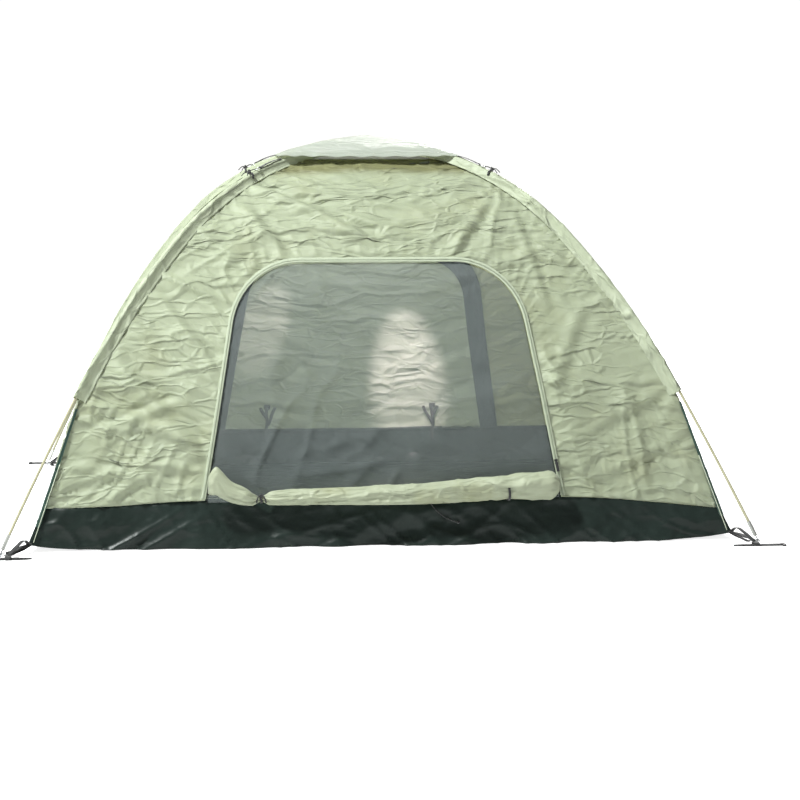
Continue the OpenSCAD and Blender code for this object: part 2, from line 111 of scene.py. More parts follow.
def braid_finish(name, dark, light):
    """Braided cord: crossing strands that follow the cord's own length."""
    mat, shader, add, join = new_material(name)
    where = add("ShaderNodeTexCoord")
    join(two_tones(add, where.outputs["Object"], dark, light, 180.0), shader.inputs["Base Color"])
    strands = [add("ShaderNodeTexWave", {"Vector": add("ShaderNodeMapping", {
        "Vector": where.outputs["UV"]}, Rotation=(0, 0, turn)).outputs[0]}, Scale=500.0)
        for turn in (0.7, -0.7)]
    weave = add("ShaderNodeMath", {0: strands[0].outputs["Fac"], 1: strands[1].outputs["Fac"]},
                operation="MAXIMUM")
    bump = add("ShaderNodeBump", {"Height": weave.outputs[0]}, Strength=0.6, Distance=0.0006)
    join(bump.outputs[0], shader.inputs["Normal"])
    shader.inputs["Roughness"].default_value = 0.75
    shader.inputs["Sheen Weight"].default_value = 0.3
    return mat


def finish_mesh(name, points, faces, uvs, material, smooth=True):
    """Makes a piece from points, faces and one UV for each point."""
    mesh = bpy.data.meshes.new(name)
    mesh.from_pydata([tuple(p) for p in points], [], faces)
    layer = mesh.uv_layers.new(name="UVMap")
    corner_point = np.empty(len(mesh.loops), dtype=int)
    mesh.loops.foreach_get("vertex_index", corner_point)
    layer.data.foreach_set("uv", np.asarray(uvs, dtype=float)[corner_point].ravel())
    mesh.polygons.foreach_set("use_smooth", [smooth] * len(mesh.polygons))
    mesh.materials.append(material)
    mesh.update()
    piece = bpy.data.objects.new(name, mesh)
    scene.collection.objects.link(piece)
    return piece


def tube_parts(path, radius, sides=8):
    """Points, faces and UVs of a round tube along a path, with closed ends. radius is one
    number or one for each point."""
    path = np.asarray(path, dtype=float)
    radius = np.broadcast_to(radius, len(path))
    along = np.gradient(path, axis=0)
    along /= np.linalg.norm(along, axis=1)[:, None]
    side = np.cross(along[0], (0.3, 0.2, 1.0))
    run = np.r_[0, np.cumsum(np.linalg.norm(np.diff(path, axis=0), axis=1))]
    points, uvs, faces = [], [], []
    for i, (p, d) in enumerate(zip(path, along)):
        side = side - d * side.dot(d)
        side /= np.linalg.norm(side)
        other = np.cross(d, side)
        for j in range(sides):
            a = 2 * math.pi * j / sides
            points.append(p + radius[i] * (math.cos(a) * side + math.sin(a) * other))
            uvs.append((radius[i] * a, run[i]))
    for i in range(len(path) - 1):
        for j in range(sides):
            a, b = i * sides + j, i * sides + (j + 1) % sides
            faces.append((a, b, b + sides, a + sides))
    faces.append(tuple(range(sides))[::-1])
    faces.append(tuple((len(path) - 1) * sides + j for j in range(sides)))
    return points, faces, uvs


def joined(parts):
    """Several lots of points, faces and UVs as one."""
    points, faces, uvs = [], [], []
    for p, f, u in parts:
        start = len(points)
        points += list(p)
        faces += [tuple(start + k for k in face) for face in f]
        uvs += list(u)
    return points, faces, uvs


def smooth_path(points, steps=6):
    """A rounder line through the same points (Catmull-Rom)."""
    p = np.asarray(points, dtype=float)
    p = np.vstack([2 * p[0] - p[1], p, 2 * p[-1] - p[-2]])
    out = []
    for a, b, c, d in zip(p, p[1:], p[2:], p[3:]):
        for t in np.linspace(0, 1, steps, endpoint=False):
            out.append(0.5 * (2 * b + (c - a) * t + (2 * a - 5 * b + 4 * c - d) * t * t
                              + (3 * b - a - 3 * c + d) * t ** 3))
    return np.array(out + [p[-2]])


def knot_path(centre, size, axis=(0, 0, 1)):
    """The closed loop of a tied overhand knot."""
    t = np.linspace(0, 2 * math.pi, 49)
    loop = np.stack([np.sin(t) + 2 * np.sin(2 * t), np.cos(t) - 2 * np.cos(2 * t),
                     -np.sin(3 * t)], axis=1) * size / 3
    turn = Vector((0, 0, 1)).rotation_difference(Vector(axis)).to_matrix()
    return loop @ np.array(turn).T + np.asarray(centre)


black_braid = braid_finish("black_braid", (0.012, 0.012, 0.013), (0.045, 0.045, 0.047))
tie_path = smooth_path(TIE_ROUTE, 3)
tie_cord = finish_mesh("tub_tie_cord_braid", *tube_parts(tie_path, CORD_R), black_braid)
tie_knot = finish_mesh("tub_tie_knot", *tube_parts(knot_path(TIE_ROUTE[-1], 0.004, (1, 0, -1)),
                                                   CORD_R * 0.9), black_braid)
for piece in (tie_cord, tie_knot):
    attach(piece, "tent")
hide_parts("tub_tie_cord")

# ------------------------------------------------------------------ floor and light
# A plain pale studio floor under an even white surround, a lamp above and to the left of the
# door, a broad one behind, and soft light inside that glows on the rear door's cloth.
floor_mesh = bpy.data.meshes.new("studio_floor")
floor_mesh.from_pydata([(-30, -30, 0), (30, -30, 0), (30, 30, 0), (-30, 30, 0)], [], [(0, 1, 2, 3)])
studio_floor = bpy.data.objects.new("studio_floor", floor_mesh)
scene.collection.objects.link(studio_floor)
floor_mat, floor_shader, add, join = new_material("pale_floor")
join(two_tones(add, add("ShaderNodeTexCoord").outputs["Object"], (0.90, 0.90, 0.90),
               (0.93, 0.93, 0.93), 0.6), floor_shader.inputs["Base Color"])
floor_shader.inputs["Roughness"].default_value = 0.8
floor_shader.inputs["Emission Color"].default_value = (1, 1, 1, 1)
to_eye = add("ShaderNodeLightPath")
join(add("ShaderNodeMapRange", {"Value": to_eye.outputs["Is Camera Ray"]}, To_Max=0.85).outputs[0],
     floor_shader.inputs["Emission Strength"])
floor_mesh.materials.append(floor_mat)

world = bpy.data.worlds.new("studio")
world.use_nodes = True
surround = world.node_tree.nodes["Background"]
surround.inputs["Color"].default_value = (1.0, 1.0, 0.98, 1)
to_view = world.node_tree.nodes.new("ShaderNodeLightPath")
strength = world.node_tree.nodes.new("ShaderNodeMapRange")
strength.inputs["To Min"].default_value = 0.26
strength.inputs["To Max"].default_value = 1.05
world.node_tree.links.new(to_view.outputs["Is Camera Ray"], strength.inputs["Value"])
world.node_tree.links.new(strength.outputs[0], surround.inputs["Strength"])
scene.world = world
scene.view_settings.view_transform = "Standard"


def area_lamp(name, place, aim, size, power, colour):
    """A square lamp at a place, turned to face its aim."""
    lamp = bpy.data.lights.new(name, "AREA")
    lamp.size, lamp.energy, lamp.color = size, power, colour
    stand = bpy.data.objects.new(name, lamp)
    stand.location = place
    stand.rotation_euler = (Vector(aim) - Vector(place)).to_track_quat("-Z", "Y").to_euler()
    stand.visible_camera = False
    scene.collection.objects.link(stand)


area_lamp("key_lamp", (-3.4, -1.9, 6.0), (0, -0.3, 0.5), 0.9, 820, (0.96, 1.0, 0.98))
area_lamp("back_lamp", (1.5, 4.5, 3.5), (0, 0.3, 0.5), 1.6, 330, (1.0, 0.97, 0.97))
area_lamp("cabin_glow", (0.0, -0.10, 0.90), (0, 0.70, 0.36), 0.5, 7, (1.0, 0.96, 0.97))

# Two narrow beams inside make bright patches on the rear door, as sun between leaves does
for name, aim, width, power in (("patch_beam", (0.19, 0.62, 0.34), 17.0, 190),
                                ("small_patch_beam", (-0.31, 0.62, 0.50), 12.0, 60)):
    beam = bpy.data.lights.new(name, "SPOT")
    beam.energy, beam.spot_size, beam.spot_blend = power, math.radians(width), 0.75
    beam.shadow_soft_size, beam.color = 0.01, (1.0, 0.80, 0.84)
    stand = bpy.data.objects.new(name, beam)
    stand.location = (0.05, -0.20, 0.86)
    stand.rotation_euler = (Vector(aim) - stand.location).to_track_quat("-Z", "Y").to_euler()
    stand.scale = (1.0, 1.5, 1.0)
    stand.visible_camera = False
    scene.collection.objects.link(stand)

# ------------------------------------------------------------------ the rods' line
# Two shock-corded fibreglass rods, each seven tubes on an elastic, are sprung into arches
# over the floor's diagonals. Every cloth piece hangs from their line, so it is worked out here.
floor_low, floor_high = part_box("groundsheet_floor")
floor_w = round(floor_high.x - floor_low.x, 2)
floor_d = round(floor_high.y - floor_low.y, 2)
half_diag = math.hypot(floor_w, floor_d) / 2
across_share, out_share = floor_w / 2 / half_diag, floor_d / 2 / half_diag
FOOT_OUT, FOOT_Z, CROSSING = 0.075, 0.020, 0.010
ROD_BENDS = np.radians([11.2, 32.0, 13.4, 3.4])
ROD_ENDS = np.array([0, 0.5, 1.5, 2.5, 3.5])


def rod_line(side):
    """Length from the crown, reach, height and slope of a rod. side is -1 for the lower rod,
    1 for the upper and 0 for their mean."""
    def chain(tilt):
        s = np.linspace(0, 3.5, 1401)
        bends = ROD_BENDS + np.array([tilt, 0, 0, 0])
        slope = np.interp(s, ROD_ENDS, np.r_[0, np.cumsum(bends)])
        step = s[1] - s[0]
        middle = (slope[1:] + slope[:-1]) / 2
        return s, np.r_[0, np.cumsum(np.cos(middle))] * step, \
            np.r_[0, np.cumsum(np.sin(middle))] * step, slope
    s, reach, drop, slope = chain(0)
    section = (half_diag + FOOT_OUT) / reach[-1]
    crown = FOOT_Z + section * drop[-1]
    tilt = side * CROSSING / 2 / (half_diag + FOOT_OUT - section / 4)
    s, reach, drop, slope = chain(tilt)
    return s * section, reach * section, crown + side * CROSSING / 2 - drop * section, slope


SLEEVE_Z = 0.400
RIDGE_IN = 0.014                  # the cloth's ridge lies this far under the rods' axis
rod_s, rod_reach, rod_z, rod_slope = rod_line(0)
ridge_r = rod_reach - RIDGE_IN * np.sin(rod_slope)
ridge_z = rod_z - RIDGE_IN * np.cos(rod_slope)
above = ridge_z > SLEEVE_Z
ridge_r, ridge_z = ridge_r[above], ridge_z[above]
straight = np.linspace(0, 1, 200)[1:]
ridge_z = np.r_[ridge_z, ridge_z[-1] * (1 - straight)]
ridge_r = np.r_[ridge_r, ridge_r[-1] + (half_diag - ridge_r[-1]) * straight]
ridge_s = np.r_[0, np.cumsum(np.hypot(np.diff(ridge_r), np.diff(ridge_z)))]
sleeve_end = float(np.interp(SLEEVE_Z, ridge_z[::-1], ridge_s[::-1]))


def down_at(z):
    """Length down the cloth's ridge from the crown to a height."""
    return np.interp(z, ridge_z[::-1], ridge_s[::-1])


def fibreglass():
    """Pale pultruded fibreglass with faint lengthwise streaks."""
    mat, shader, add, join = new_material("pale_fibreglass")
    where = add("ShaderNodeTexCoord").outputs["Object"]
    join(two_tones(add, where, (0.34, 0.32, 0.20), (0.50, 0.48, 0.34), 40.0),
         shader.inputs["Base Color"])
    grain = add("ShaderNodeTexNoise", {"Vector": where}, Scale=900.0, Detail=3.0)
    join(add("ShaderNodeBump", {"Height": grain.outputs["Fac"]}, Strength=0.2,
             Distance=0.0003).outputs[0], shader.inputs["Normal"])
    join(add("ShaderNodeMapRange", {"Value": grain.outputs["Fac"]}, To_Min=0.25,
             To_Max=0.5).outputs[0], shader.inputs["Roughness"])
    shader.inputs["Coat Weight"].default_value = 0.4
    return mat


def metal(name, dark, light, rough):
    """Plated or coated metal with fine scuffs."""
    mat, shader, add, join = new_material(name)
    where = add("ShaderNodeTexCoord").outputs["Object"]
    join(two_tones(add, where, dark, light, 120.0), shader.inputs["Base Color"])
    scuffs = add("ShaderNodeTexNoise", {"Vector": where}, Scale=600.0, Detail=6.0)
    join(add("ShaderNodeMapRange", {"Value": scuffs.outputs["Fac"]}, To_Min=rough - 0.1,
             To_Max=rough + 0.2).outputs[0], shader.inputs["Roughness"])
    join(add("ShaderNodeBump", {"Height": scuffs.outputs["Fac"]}, Strength=0.15,
             Distance=0.0003).outputs[0], shader.inputs["Normal"])
    shader.inputs["Metallic"].default_value = 1.0
    return mat


def moulded(name, dark, light, rough):
    """Moulded plastic or rubber with a fine matt grain."""
    mat, shader, add, join = new_material(name)
    where = add("ShaderNodeTexCoord").outputs["Object"]
    join(two_tones(add, where, dark, light, 60.0), shader.inputs["Base Color"])
    grain = add("ShaderNodeTexNoise", {"Vector": where}, Scale=1500.0, Detail=2.0)
    join(add("ShaderNodeBump", {"Height": grain.outputs["Fac"]}, Strength=0.3,
             Distance=0.0002).outputs[0], shader.inputs["Normal"])
    join(add("ShaderNodeMapRange", {"Value": grain.outputs["Fac"]}, To_Min=rough,
             To_Max=rough + 0.2).outputs[0], shader.inputs["Roughness"])
    return mat


def dress(material, *nodes):
    """Gives CAD nodes a finish."""
    for node in nodes:
        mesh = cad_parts[node].data
        mesh.materials.clear()
        mesh.materials.append(material)


rod_finish = fibreglass()
zinc = metal("zinc_plate", (0.42, 0.43, 0.44), (0.66, 0.67, 0.68), 0.3)
elastic = moulded("elastic_cord", (0.02, 0.02, 0.02), (0.06, 0.06, 0.06), 0.6)
for rod in "ab":
    dress(rod_finish, *[f"pole_{rod}_section_{i}" for i in range(1, 8)])
    dress(zinc, f"pole_{rod}_ferrules")
    dress(elastic, f"pole_{rod}_shock_cord")
dress(metal("foot_ferrule", (0.55, 0.56, 0.53), (0.78, 0.79, 0.75), 0.35), "pole_end_tips")
dress(zinc, "corner_pins", "corner_rings", "cap_rings")

# ------------------------------------------------------------------ walls
# Four sewn panels of thin coated polyester, each bent one way only between two ridges. The
# front and rear ones have a D-shaped doorway with a turned hem, and pucker along every seam.
UP_WALL = {"front": 0, "right": 1, "rear": 2, "left": 3}
ridge_dr, ridge_dz = np.gradient(ridge_r, ridge_s), np.gradient(ridge_z, ridge_s)
lattice = np.random.default_rng(11).uniform(-1, 1, (256, 256))


def on_wall(side, x, s, lift=0.0):
    """Points on a wall: x along it seen from outside, s down its ridge, lift off its face."""
    share = out_share if side in ("front", "rear") else across_share
    r, z = np.interp(s, ridge_s, ridge_r), np.interp(s, ridge_s, ridge_z)
    dr, dz = share * np.interp(s, ridge_s, ridge_dr), np.interp(s, ridge_s, ridge_dz)
    size = np.hypot(dr, dz)
    out = share * r - lift * dz / size
    up = z + lift * dr / size
    turned = {"front": (x, -out), "right": (out, x), "rear": (-x, out), "left": (-out, -x)}
    return np.stack([*turned[side], up], axis=-1)


def noise(u, v, seed=0):
    """Smooth random hills between -1 and 1."""
    u, v = np.asarray(u) + 13.7 * seed, np.asarray(v) + 7.3 * seed
    i, j = np.floor(u).astype(int), np.floor(v).astype(int)
    f, g = u - i, v - j
    f, g = f * f * (3 - 2 * f), g * g * (3 - 2 * g)
    i, j, i2, j2 = i % 256, j % 256, (i + 1) % 256, (j + 1) % 256
    low = lattice[i, j] * (1 - f) + lattice[i2, j] * f
    high = lattice[i, j2] * (1 - f) + lattice[i2, j2] * f
    return low * (1 - g) + high * g


def creases(u, v, seed=0, sharp=5):
    """Narrow raised creases on flat ground, between 0 and 1."""
    bent = 0.35 * noise(u * 0.6, v * 0.6, seed + 50)
    return (1 - np.abs(noise(u + bent, v - bent, seed))) ** sharp


def crumple(x, s, seed=0):
    """The lift of cloth that was packed in a bag: hills, then ever finer long creases, which lie
    one way in some patches of the panel and the other way in the rest."""
    lift = 0.0040 * noise(3.5 * x, 3.0 * s, seed)
    which = np.clip(0.5 + 2.5 * noise(3 * x, 3 * s, seed + 9), 0, 1)
    for k, (often, height) in enumerate(((5, 0.0110), (10, 0.0100), (19, 0.0072), (34, 0.0036))):
        for turn, share in ((0.70, which), (-0.55, 1 - which)):
            turn = turn + 0.35 * noise(1.6 * x, 1.6 * s, seed + 20 + k)
            u = x * np.cos(turn) + s * np.sin(turn)
            v = s * np.cos(turn) - x * np.sin(turn)
            patchy = np.clip(0.6 + 1.2 * noise(4 * x, 4 * s, seed + 30 + k), 0, 1)
            lift = lift + height * share * patchy * creases(often * 0.24 * u, often * v, seed + k, 6)
    return lift - 0.004


def gathers(run, away, reach, height, wave, seed=0):
    """Sharp-crested puckers square to a seam: run is the length along it, away off it."""
    shift = 1.6 * noise(run * 6, away * 5, seed)
    swell = 0.55 + 0.45 * noise(run * 9, run * 0, seed + 1)
    crest = 2 * (1 - np.abs(np.sin(np.pi * run / wave + 1.1 * shift))) ** 1.5 - 0.7
    return height * swell * np.exp(-away / reach) * crest


def fold(x, s, start, end, width, height):
    """One long soft fold from start to end, each (x, height above ground)."""
    x0, s0, x1, s1 = start[0], down_at(start[1]), end[0], down_at(end[1])
    dx, ds = x1 - x0, s1 - s0
    size = math.hypot(dx, ds)
    along = ((x - x0) * dx + (s - s0) * ds) / size ** 2
    aside = ((x - x0) * ds - (s - s0) * dx) / size
    body = np.exp(-(aside / width) ** 2) - 0.6 * np.exp(-((aside - 1.5 * width) / width) ** 2)
    ends = np.clip(along * 4, 0, 1) * np.clip((1 - along) * 4, 0, 1)
    return height * body * ends * ends * (3 - 2 * ends)


def grid_parts(points, uv, around=False):
    """Points, faces and UVs of a sheet from a grid of points; around closes its first way."""
    n, m = points.shape[:2]
    faces = [(i * m + j, (i + 1) % n * m + j, (i + 1) % n * m + j + 1, i * m + j + 1)
             for i in range(n if around else n - 1) for j in range(m - 1)]
    return points.reshape(-1, 3), faces, np.asarray(uv, dtype=float).reshape(-1, 2)


def thicken(piece, thickness, offset=0.0):
    """Gives a sheet its thickness."""
    modifier = piece.modifiers.new("thickness", "SOLIDIFY")
    modifier.thickness, modifier.offset = thickness, offset


# Turn, creases a metre, stretch along and depth of each kind of crease in the cloth's bump
CREASE_KINDS = ((0.60, 7.0, 0.30, 0.0110), (-0.65, 9.0, 0.30, 0.0100),
                (0.20, 19.0, 0.36, 0.0060), (-0.30, 31.0, 0.42, 0.0036))
# Olive tone and fade of the painted shade at the walls' top, just under the rain cap's edge
PAINTED_CAP_SHADE_TONE, PAINTED_CAP_SHADE_FADE = (0.22, 0.21, 0.085), 0.08


def cloth_finish(name, dark, light, through, rough=0.55, crinkle=0.6, stain=None, painted_cap_shade_to=0.0):
    """Coated woven cloth: a fine weave, crinkles, a slight sheen, and light coming through.
    Down to a given length from the crown, just under the rain cap's edge, it is painted olive, as
    painted shade where the cap shades the wall."""
    mat, shader, add, join = new_material(name)
    where = add("ShaderNodeTexCoord")
    tone = two_tones(add, where.outputs["Object"], dark, light, 2.6, 8.0)
    if stain:
        soil = add("ShaderNodeMapRange", {"Value": add(
            "ShaderNodeTexNoise", {"Vector": where.outputs["Object"]}, Scale=7.0,
            Detail=9.0).outputs["Fac"]}, From_Min=0.52, From_Max=0.78)
        tone = towards(add, join, tone, stain, soil.outputs[0])
    # Painted shade: down to the given length from the crown the tone turns olive, standing in for
    # the rain cap's shadow on the wall
    if painted_cap_shade_to:
        split = add("ShaderNodeSeparateXYZ", {"Vector": where.outputs["UV"]})
        painted_cap_shade_share = add("ShaderNodeMapRange", {"Value": split.outputs["Y"]}, From_Min=painted_cap_shade_to,
                   From_Max=painted_cap_shade_to + PAINTED_CAP_SHADE_FADE, To_Min=0.85, To_Max=0.0,
                   interpolation_type="SMOOTHSTEP")
        tone = towards(add, join, tone, PAINTED_CAP_SHADE_TONE, painted_cap_shade_share.outputs[0])
    join(tone, shader.inputs["Base Color"])
    threads = [add("ShaderNodeTexWave", {"Vector": where.outputs["UV"]}, bands_direction=way,
                   Scale=1400.0 / 6) for way in "XY"]
    cloth = add("ShaderNodeMath", {0: threads[0].outputs["Fac"], 1: threads[1].outputs["Fac"]},
                operation="ADD")
    fine = add("ShaderNodeBump", {"Height": cloth.outputs[0]}, Strength=0.15, Distance=0.0004)
    small = add("ShaderNodeTexNoise", {"Vector": where.outputs["Object"]}, Scale=30.0,
                Detail=6.0, Distortion=0.8)
    normal = add("ShaderNodeBump", {"Height": small.outputs["Fac"], "Normal": fine.outputs[0]},
                 Strength=crinkle * 0.5, Distance=0.005).outputs[0]
    drift = add("ShaderNodeTexNoise", {"Vector": where.outputs["UV"]}, Scale=5.0, Detail=3.0)
    drifted = add("ShaderNodeVectorMath", {0: drift.outputs["Color"], 2: where.outputs["UV"]},
                  operation="MULTIPLY_ADD")
    drifted.inputs[1].default_value = (0.10, 0.10, 0.0)
    for turn, often, stretch, depth in CREASE_KINDS:
        laid = add("ShaderNodeMapping", {"Vector": drifted.outputs[0]}, Rotation=(0, 0, turn),
                   Scale=(stretch, 1.0, 1.0), Location=(often, turn, 0))
        cells = add("ShaderNodeTexVoronoi", {"Vector": laid.outputs[0]}, Scale=often,
                    feature="DISTANCE_TO_EDGE")
        edge = add("ShaderNodeMapRange", {"Value": cells.outputs["Distance"]},
                   From_Max=0.14, To_Min=1.0, To_Max=0.0, interpolation_type="SMOOTHSTEP")
        patch = add("ShaderNodeMapRange", {"Value": add(
            "ShaderNodeTexNoise", {"Vector": laid.outputs[0]}, Scale=often * 0.5,
            Detail=1.0).outputs["Fac"]}, From_Min=0.40, From_Max=0.60)
        height = add("ShaderNodeMath", {0: edge.outputs[0], 1: patch.outputs[0]},
                     operation="MULTIPLY")
        normal = add("ShaderNodeBump", {"Height": height.outputs[0], "Normal": normal},
                     Strength=crinkle, Distance=depth).outputs[0]
    join(normal, shader.inputs["Normal"])
    join(add("ShaderNodeMapRange", {"Value": small.outputs["Fac"]}, To_Min=rough - 0.12,
             To_Max=rough + 0.12).outputs[0], shader.inputs["Roughness"])
    shader.inputs["Sheen Weight"].default_value = 0.15
    shader.inputs["Sheen Roughness"].default_value = 0.4
    if through:
        glow = add("ShaderNodeBsdfTranslucent", {"Normal": normal})
        glow.inputs["Color"].default_value = (light[0], light[1] * 0.97, light[2] * 0.80, 1)
        both = add("ShaderNodeMixShader", {1: shader.outputs[0], 2: glow.outputs[0]})
        both.inputs[0].default_value = through
        join(both.outputs[0], mat.node_tree.nodes["Material Output"].inputs["Surface"])
    return mat


def sewn(piece, body, slot, flat=None, held="stretched", area=None, stands_for=(), **more):
    """Rides a cloth piece on its body and hides the CAD parts that it stands for. Its finish slot
    and cut size are not used.
    """
    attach(piece, body)
    if stands_for:
        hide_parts(*stands_for)


DOOR_HALF_W, DOOR_TOP, DOOR_R, TUB_H = 0.506, 0.786, 0.200, 0.125
door_corner = (0.445 * DOOR_HALF_W, DOOR_TOP - DOOR_R)
door_lean = math.atan2(DOOR_HALF_W - door_corner[0] - DOOR_R, door_corner[1] - TUB_H)


def evenly(points, count):
    """The same open line with evenly spaced points."""
    run = np.r_[0, np.cumsum(np.linalg.norm(np.diff(points, axis=0), axis=1))]
    even = np.linspace(0, run[-1], count)
    return np.stack([np.interp(even, run, points[:, k]) for k in range(points.shape[1])], 1), even


def doorway(offset=0.0, sill=TUB_H, count=420):
    """A door's outline from its left foot over the top to its right foot, as (x, s)."""
    turn = np.linspace(door_lean, math.pi / 2, 40)
    arc = np.stack([door_corner[0] + (DOOR_R + offset) * np.cos(turn),
                    door_corner[1] + (DOOR_R + offset) * np.sin(turn)], 1)
    foot = np.array([[DOOR_HALF_W + offset - (sill - TUB_H) * math.tan(door_lean), sill]])
    leg = foot + (arc[:1] - foot) * np.linspace(0, 1, 40)[:-1, None]
    top = np.array([[0.0, DOOR_TOP + offset]])
    right = np.vstack([leg, arc, top])
    line = np.vstack([right * (-1, 1), right[-2::-1]])
    line[:, 1] = down_at(line[:, 1])
    return evenly(line, count)


VENT_REACH, WALL_TOP = 0.300, 0.262
vent_s = float(np.interp(WALL_TOP, ridge_r, ridge_s))


def seam_drop(side, x):
    """How far the seam with the groundsheet lies off its usual height."""
    if side != "front":
        return 0.004 * noise(x * 5, 0 * x, 3 + UP_WALL[side])
    return (0.012 * np.exp(-((x + 0.52) / 0.2) ** 2) + 0.006 * np.exp(-((x - 0.5) / 0.15) ** 2)
            - 0.026 * np.clip((x - 0.6) / 0.35, 0, 1) ** 1.5 + 0.003 * noise(x * 7, 0 * x, 5))


def follow_seam(side, x, s):
    """Moves wall points near the ground with the seam."""
    z = np.interp(s, ridge_s, ridge_z)
    return down_at(z + seam_drop(side, x) * np.exp(-np.maximum(z - TUB_H, 0) / 0.10))


HEM = np.array([0, 0.002, 0.006, 0.010, 0.0135, 0.016, 0.020, 0.025, 0.030])
FOLDS = {"front": [((-0.40, 1.02), (0.02, 0.82), 0.024, 0.020),
                   ((-0.42, 0.98), (-0.20, 0.70), 0.022, 0.010),
                   ((-0.80, 0.55), (-0.46, 0.19), 0.024, 0.013),
                   ((-0.88, 0.42), (-0.50, 0.28), 0.022, 0.011),
                   ((-0.66, 0.72), (-0.44, 0.45), 0.018, 0.009),
                   ((0.36, 0.98), (0.22, 0.80), 0.018, 0.007),
                   ((0.40, 0.96), (0.50, 0.62), 0.016, 0.005),
                   ((0.86, 0.44), (0.56, 0.30), 0.020, 0.006),
                   ((0.60, 0.68), (0.48, 0.40), 0.022, 0.006),
                   ((0.92, 0.32), (0.60, 0.18), 0.018, 0.006),
                   ((-0.95, 0.25), (-0.56, 0.17), 0.016, 0.006),
                   ((-0.25, 0.97), (0.16, 0.84), 0.018, 0.010),
                   ((-0.86, 0.30), (-0.54, 0.42), 0.016, 0.009),
                   ((-0.05, 0.96), (0.30, 0.90), 0.016, 0.008)],
         "rear": [((-0.38, 0.98), (-0.10, 0.80), 0.020, 0.008),
                  ((0.80, 0.52), (0.50, 0.28), 0.022, 0.007),
                  ((-0.84, 0.46), (-0.54, 0.22), 0.022, 0.007),
                  ((0.42, 0.95), (0.30, 0.74), 0.018, 0.006)],
         "left": [((-0.62, 0.45), (-0.10, 0.20), 0.024, 0.009),
                  ((0.30, 0.90), (0.02, 0.40), 0.026, 0.008),
                  ((0.60, 0.40), (0.15, 0.22), 0.020, 0.007)],
         "right": [((0.62, 0.45), (0.12, 0.22), 0.024, 0.009),
                   ((-0.30, 0.90), (0.04, 0.45), 0.026, 0.008),
                   ((-0.58, 0.42), (-0.18, 0.20), 0.020, 0.007)]}


def door_wall(side, material):
    """A wall round a doorway, as strips that run from the doorway's edge to the ridges."""
    count = 440
    inner, run = doorway(0.0, TUB_H - 0.004, count)
    hem_line, _ = doorway(HEM[-1], TUB_H - 0.004, count)
    low_s, top_s = float(down_at(TUB_H - 0.006)), vent_s
    ridge = np.linspace(low_s, top_s, 300)
    half = across_share * np.interp(ridge, ridge_s, ridge_r)
    left = np.stack([-half, ridge], 1)
    outer, outer_run = evenly(np.vstack([left, [[0, top_s]], (left * (-1, 1))[::-1]]), count)
    hem = inner[:, None] + (hem_line - inner)[:, None] * (HEM / HEM[-1])[None, :, None]
    strips = np.linspace(0, 1, 66)[1:]
    field = hem_line[:, None] + (outer - hem_line)[:, None] * strips[None, :, None]
    grid = np.concatenate([hem, field], axis=1)
    x, s = grid[..., 0], grid[..., 1]
    away = np.hypot(x - inner[:, None, 0], s - inner[:, None, 1])
    inset = np.hypot(x - outer[:, None, 0], s - outer[:, None, 1])
    z = np.interp(s, ridge_s, ridge_z)
    seed = 20 + 10 * UP_WALL[side]
    lift = crumple(x, s, seed)
    for start, end, width, height in FOLDS[side]:
        lift += fold(x, s, start, end, width, height)
    lift *= np.clip(inset / 0.05, 0.0, 1) * np.clip((z - TUB_H + 0.03) / 0.06, 0.3, 1)
    along = np.broadcast_to(run[:, None], x.shape)
    lift += gathers(along, away, 0.080, 0.0058, 0.041, seed) * np.clip(away / 0.012, 0.25, 1)
    lift += gathers(along, away, 0.035, 0.0024, 0.021, seed + 3)
    over = np.broadcast_to(outer_run[:, None], x.shape)
    lift += gathers(over, inset, 0.055, 0.0042, 0.047, seed + 5) * np.clip(inset / 0.02, 0, 1)
    lift += gathers(x, np.maximum(z - TUB_H, 0), 0.035, 0.0030, 0.038, seed + 7)
    lift *= np.clip((away - 0.015) / 0.030, 0.06, 1)
    lift += 0.0026 * np.clip(1 - np.abs(away - 0.008) / 0.008, 0, 1)
    points = on_wall(side, x, follow_seam(side, x, s), lift)
    piece = finish_mesh(f"{side}_wall_cloth", *grid_parts(points, grid), material)
    thicken(piece, 0.0008)
    return piece


def plain_wall(side, material):
    """A whole wall, from the seam with the groundsheet up to the roof mesh."""
    s = np.linspace(float(down_at(TUB_H - 0.006)), vent_s, 170)[None, :]
    t = np.linspace(-1, 1, 230)[:, None]
    half = out_share * np.interp(s, ridge_s, ridge_r)
    x, s = t * half, np.broadcast_to(s, (230, 170))
    inset = (1 - np.abs(t)) * half
    z = np.interp(s, ridge_s, ridge_z)
    seed = 20 + 10 * UP_WALL[side]
    lift = crumple(x, s, seed)
    for start, end, width, height in FOLDS[side]:
        lift += fold(x, s, start, end, width, height)
    lift *= np.clip(inset / 0.05, 0.0, 1) * np.clip((z - TUB_H + 0.03) / 0.06, 0.3, 1)
    lift += gathers(s, inset, 0.055, 0.0042, 0.047, seed + 5) * np.clip(inset / 0.02, 0, 1)
    lift += gathers(x, np.maximum(z - TUB_H, 0), 0.035, 0.0030, 0.038, seed + 7)
    points = on_wall(side, x, follow_seam(side, x, s), lift)
    piece = finish_mesh(f"{side}_wall_cloth", *grid_parts(points, np.stack([x, s], -1)), material)
    thicken(piece, 0.0008)
    return piece


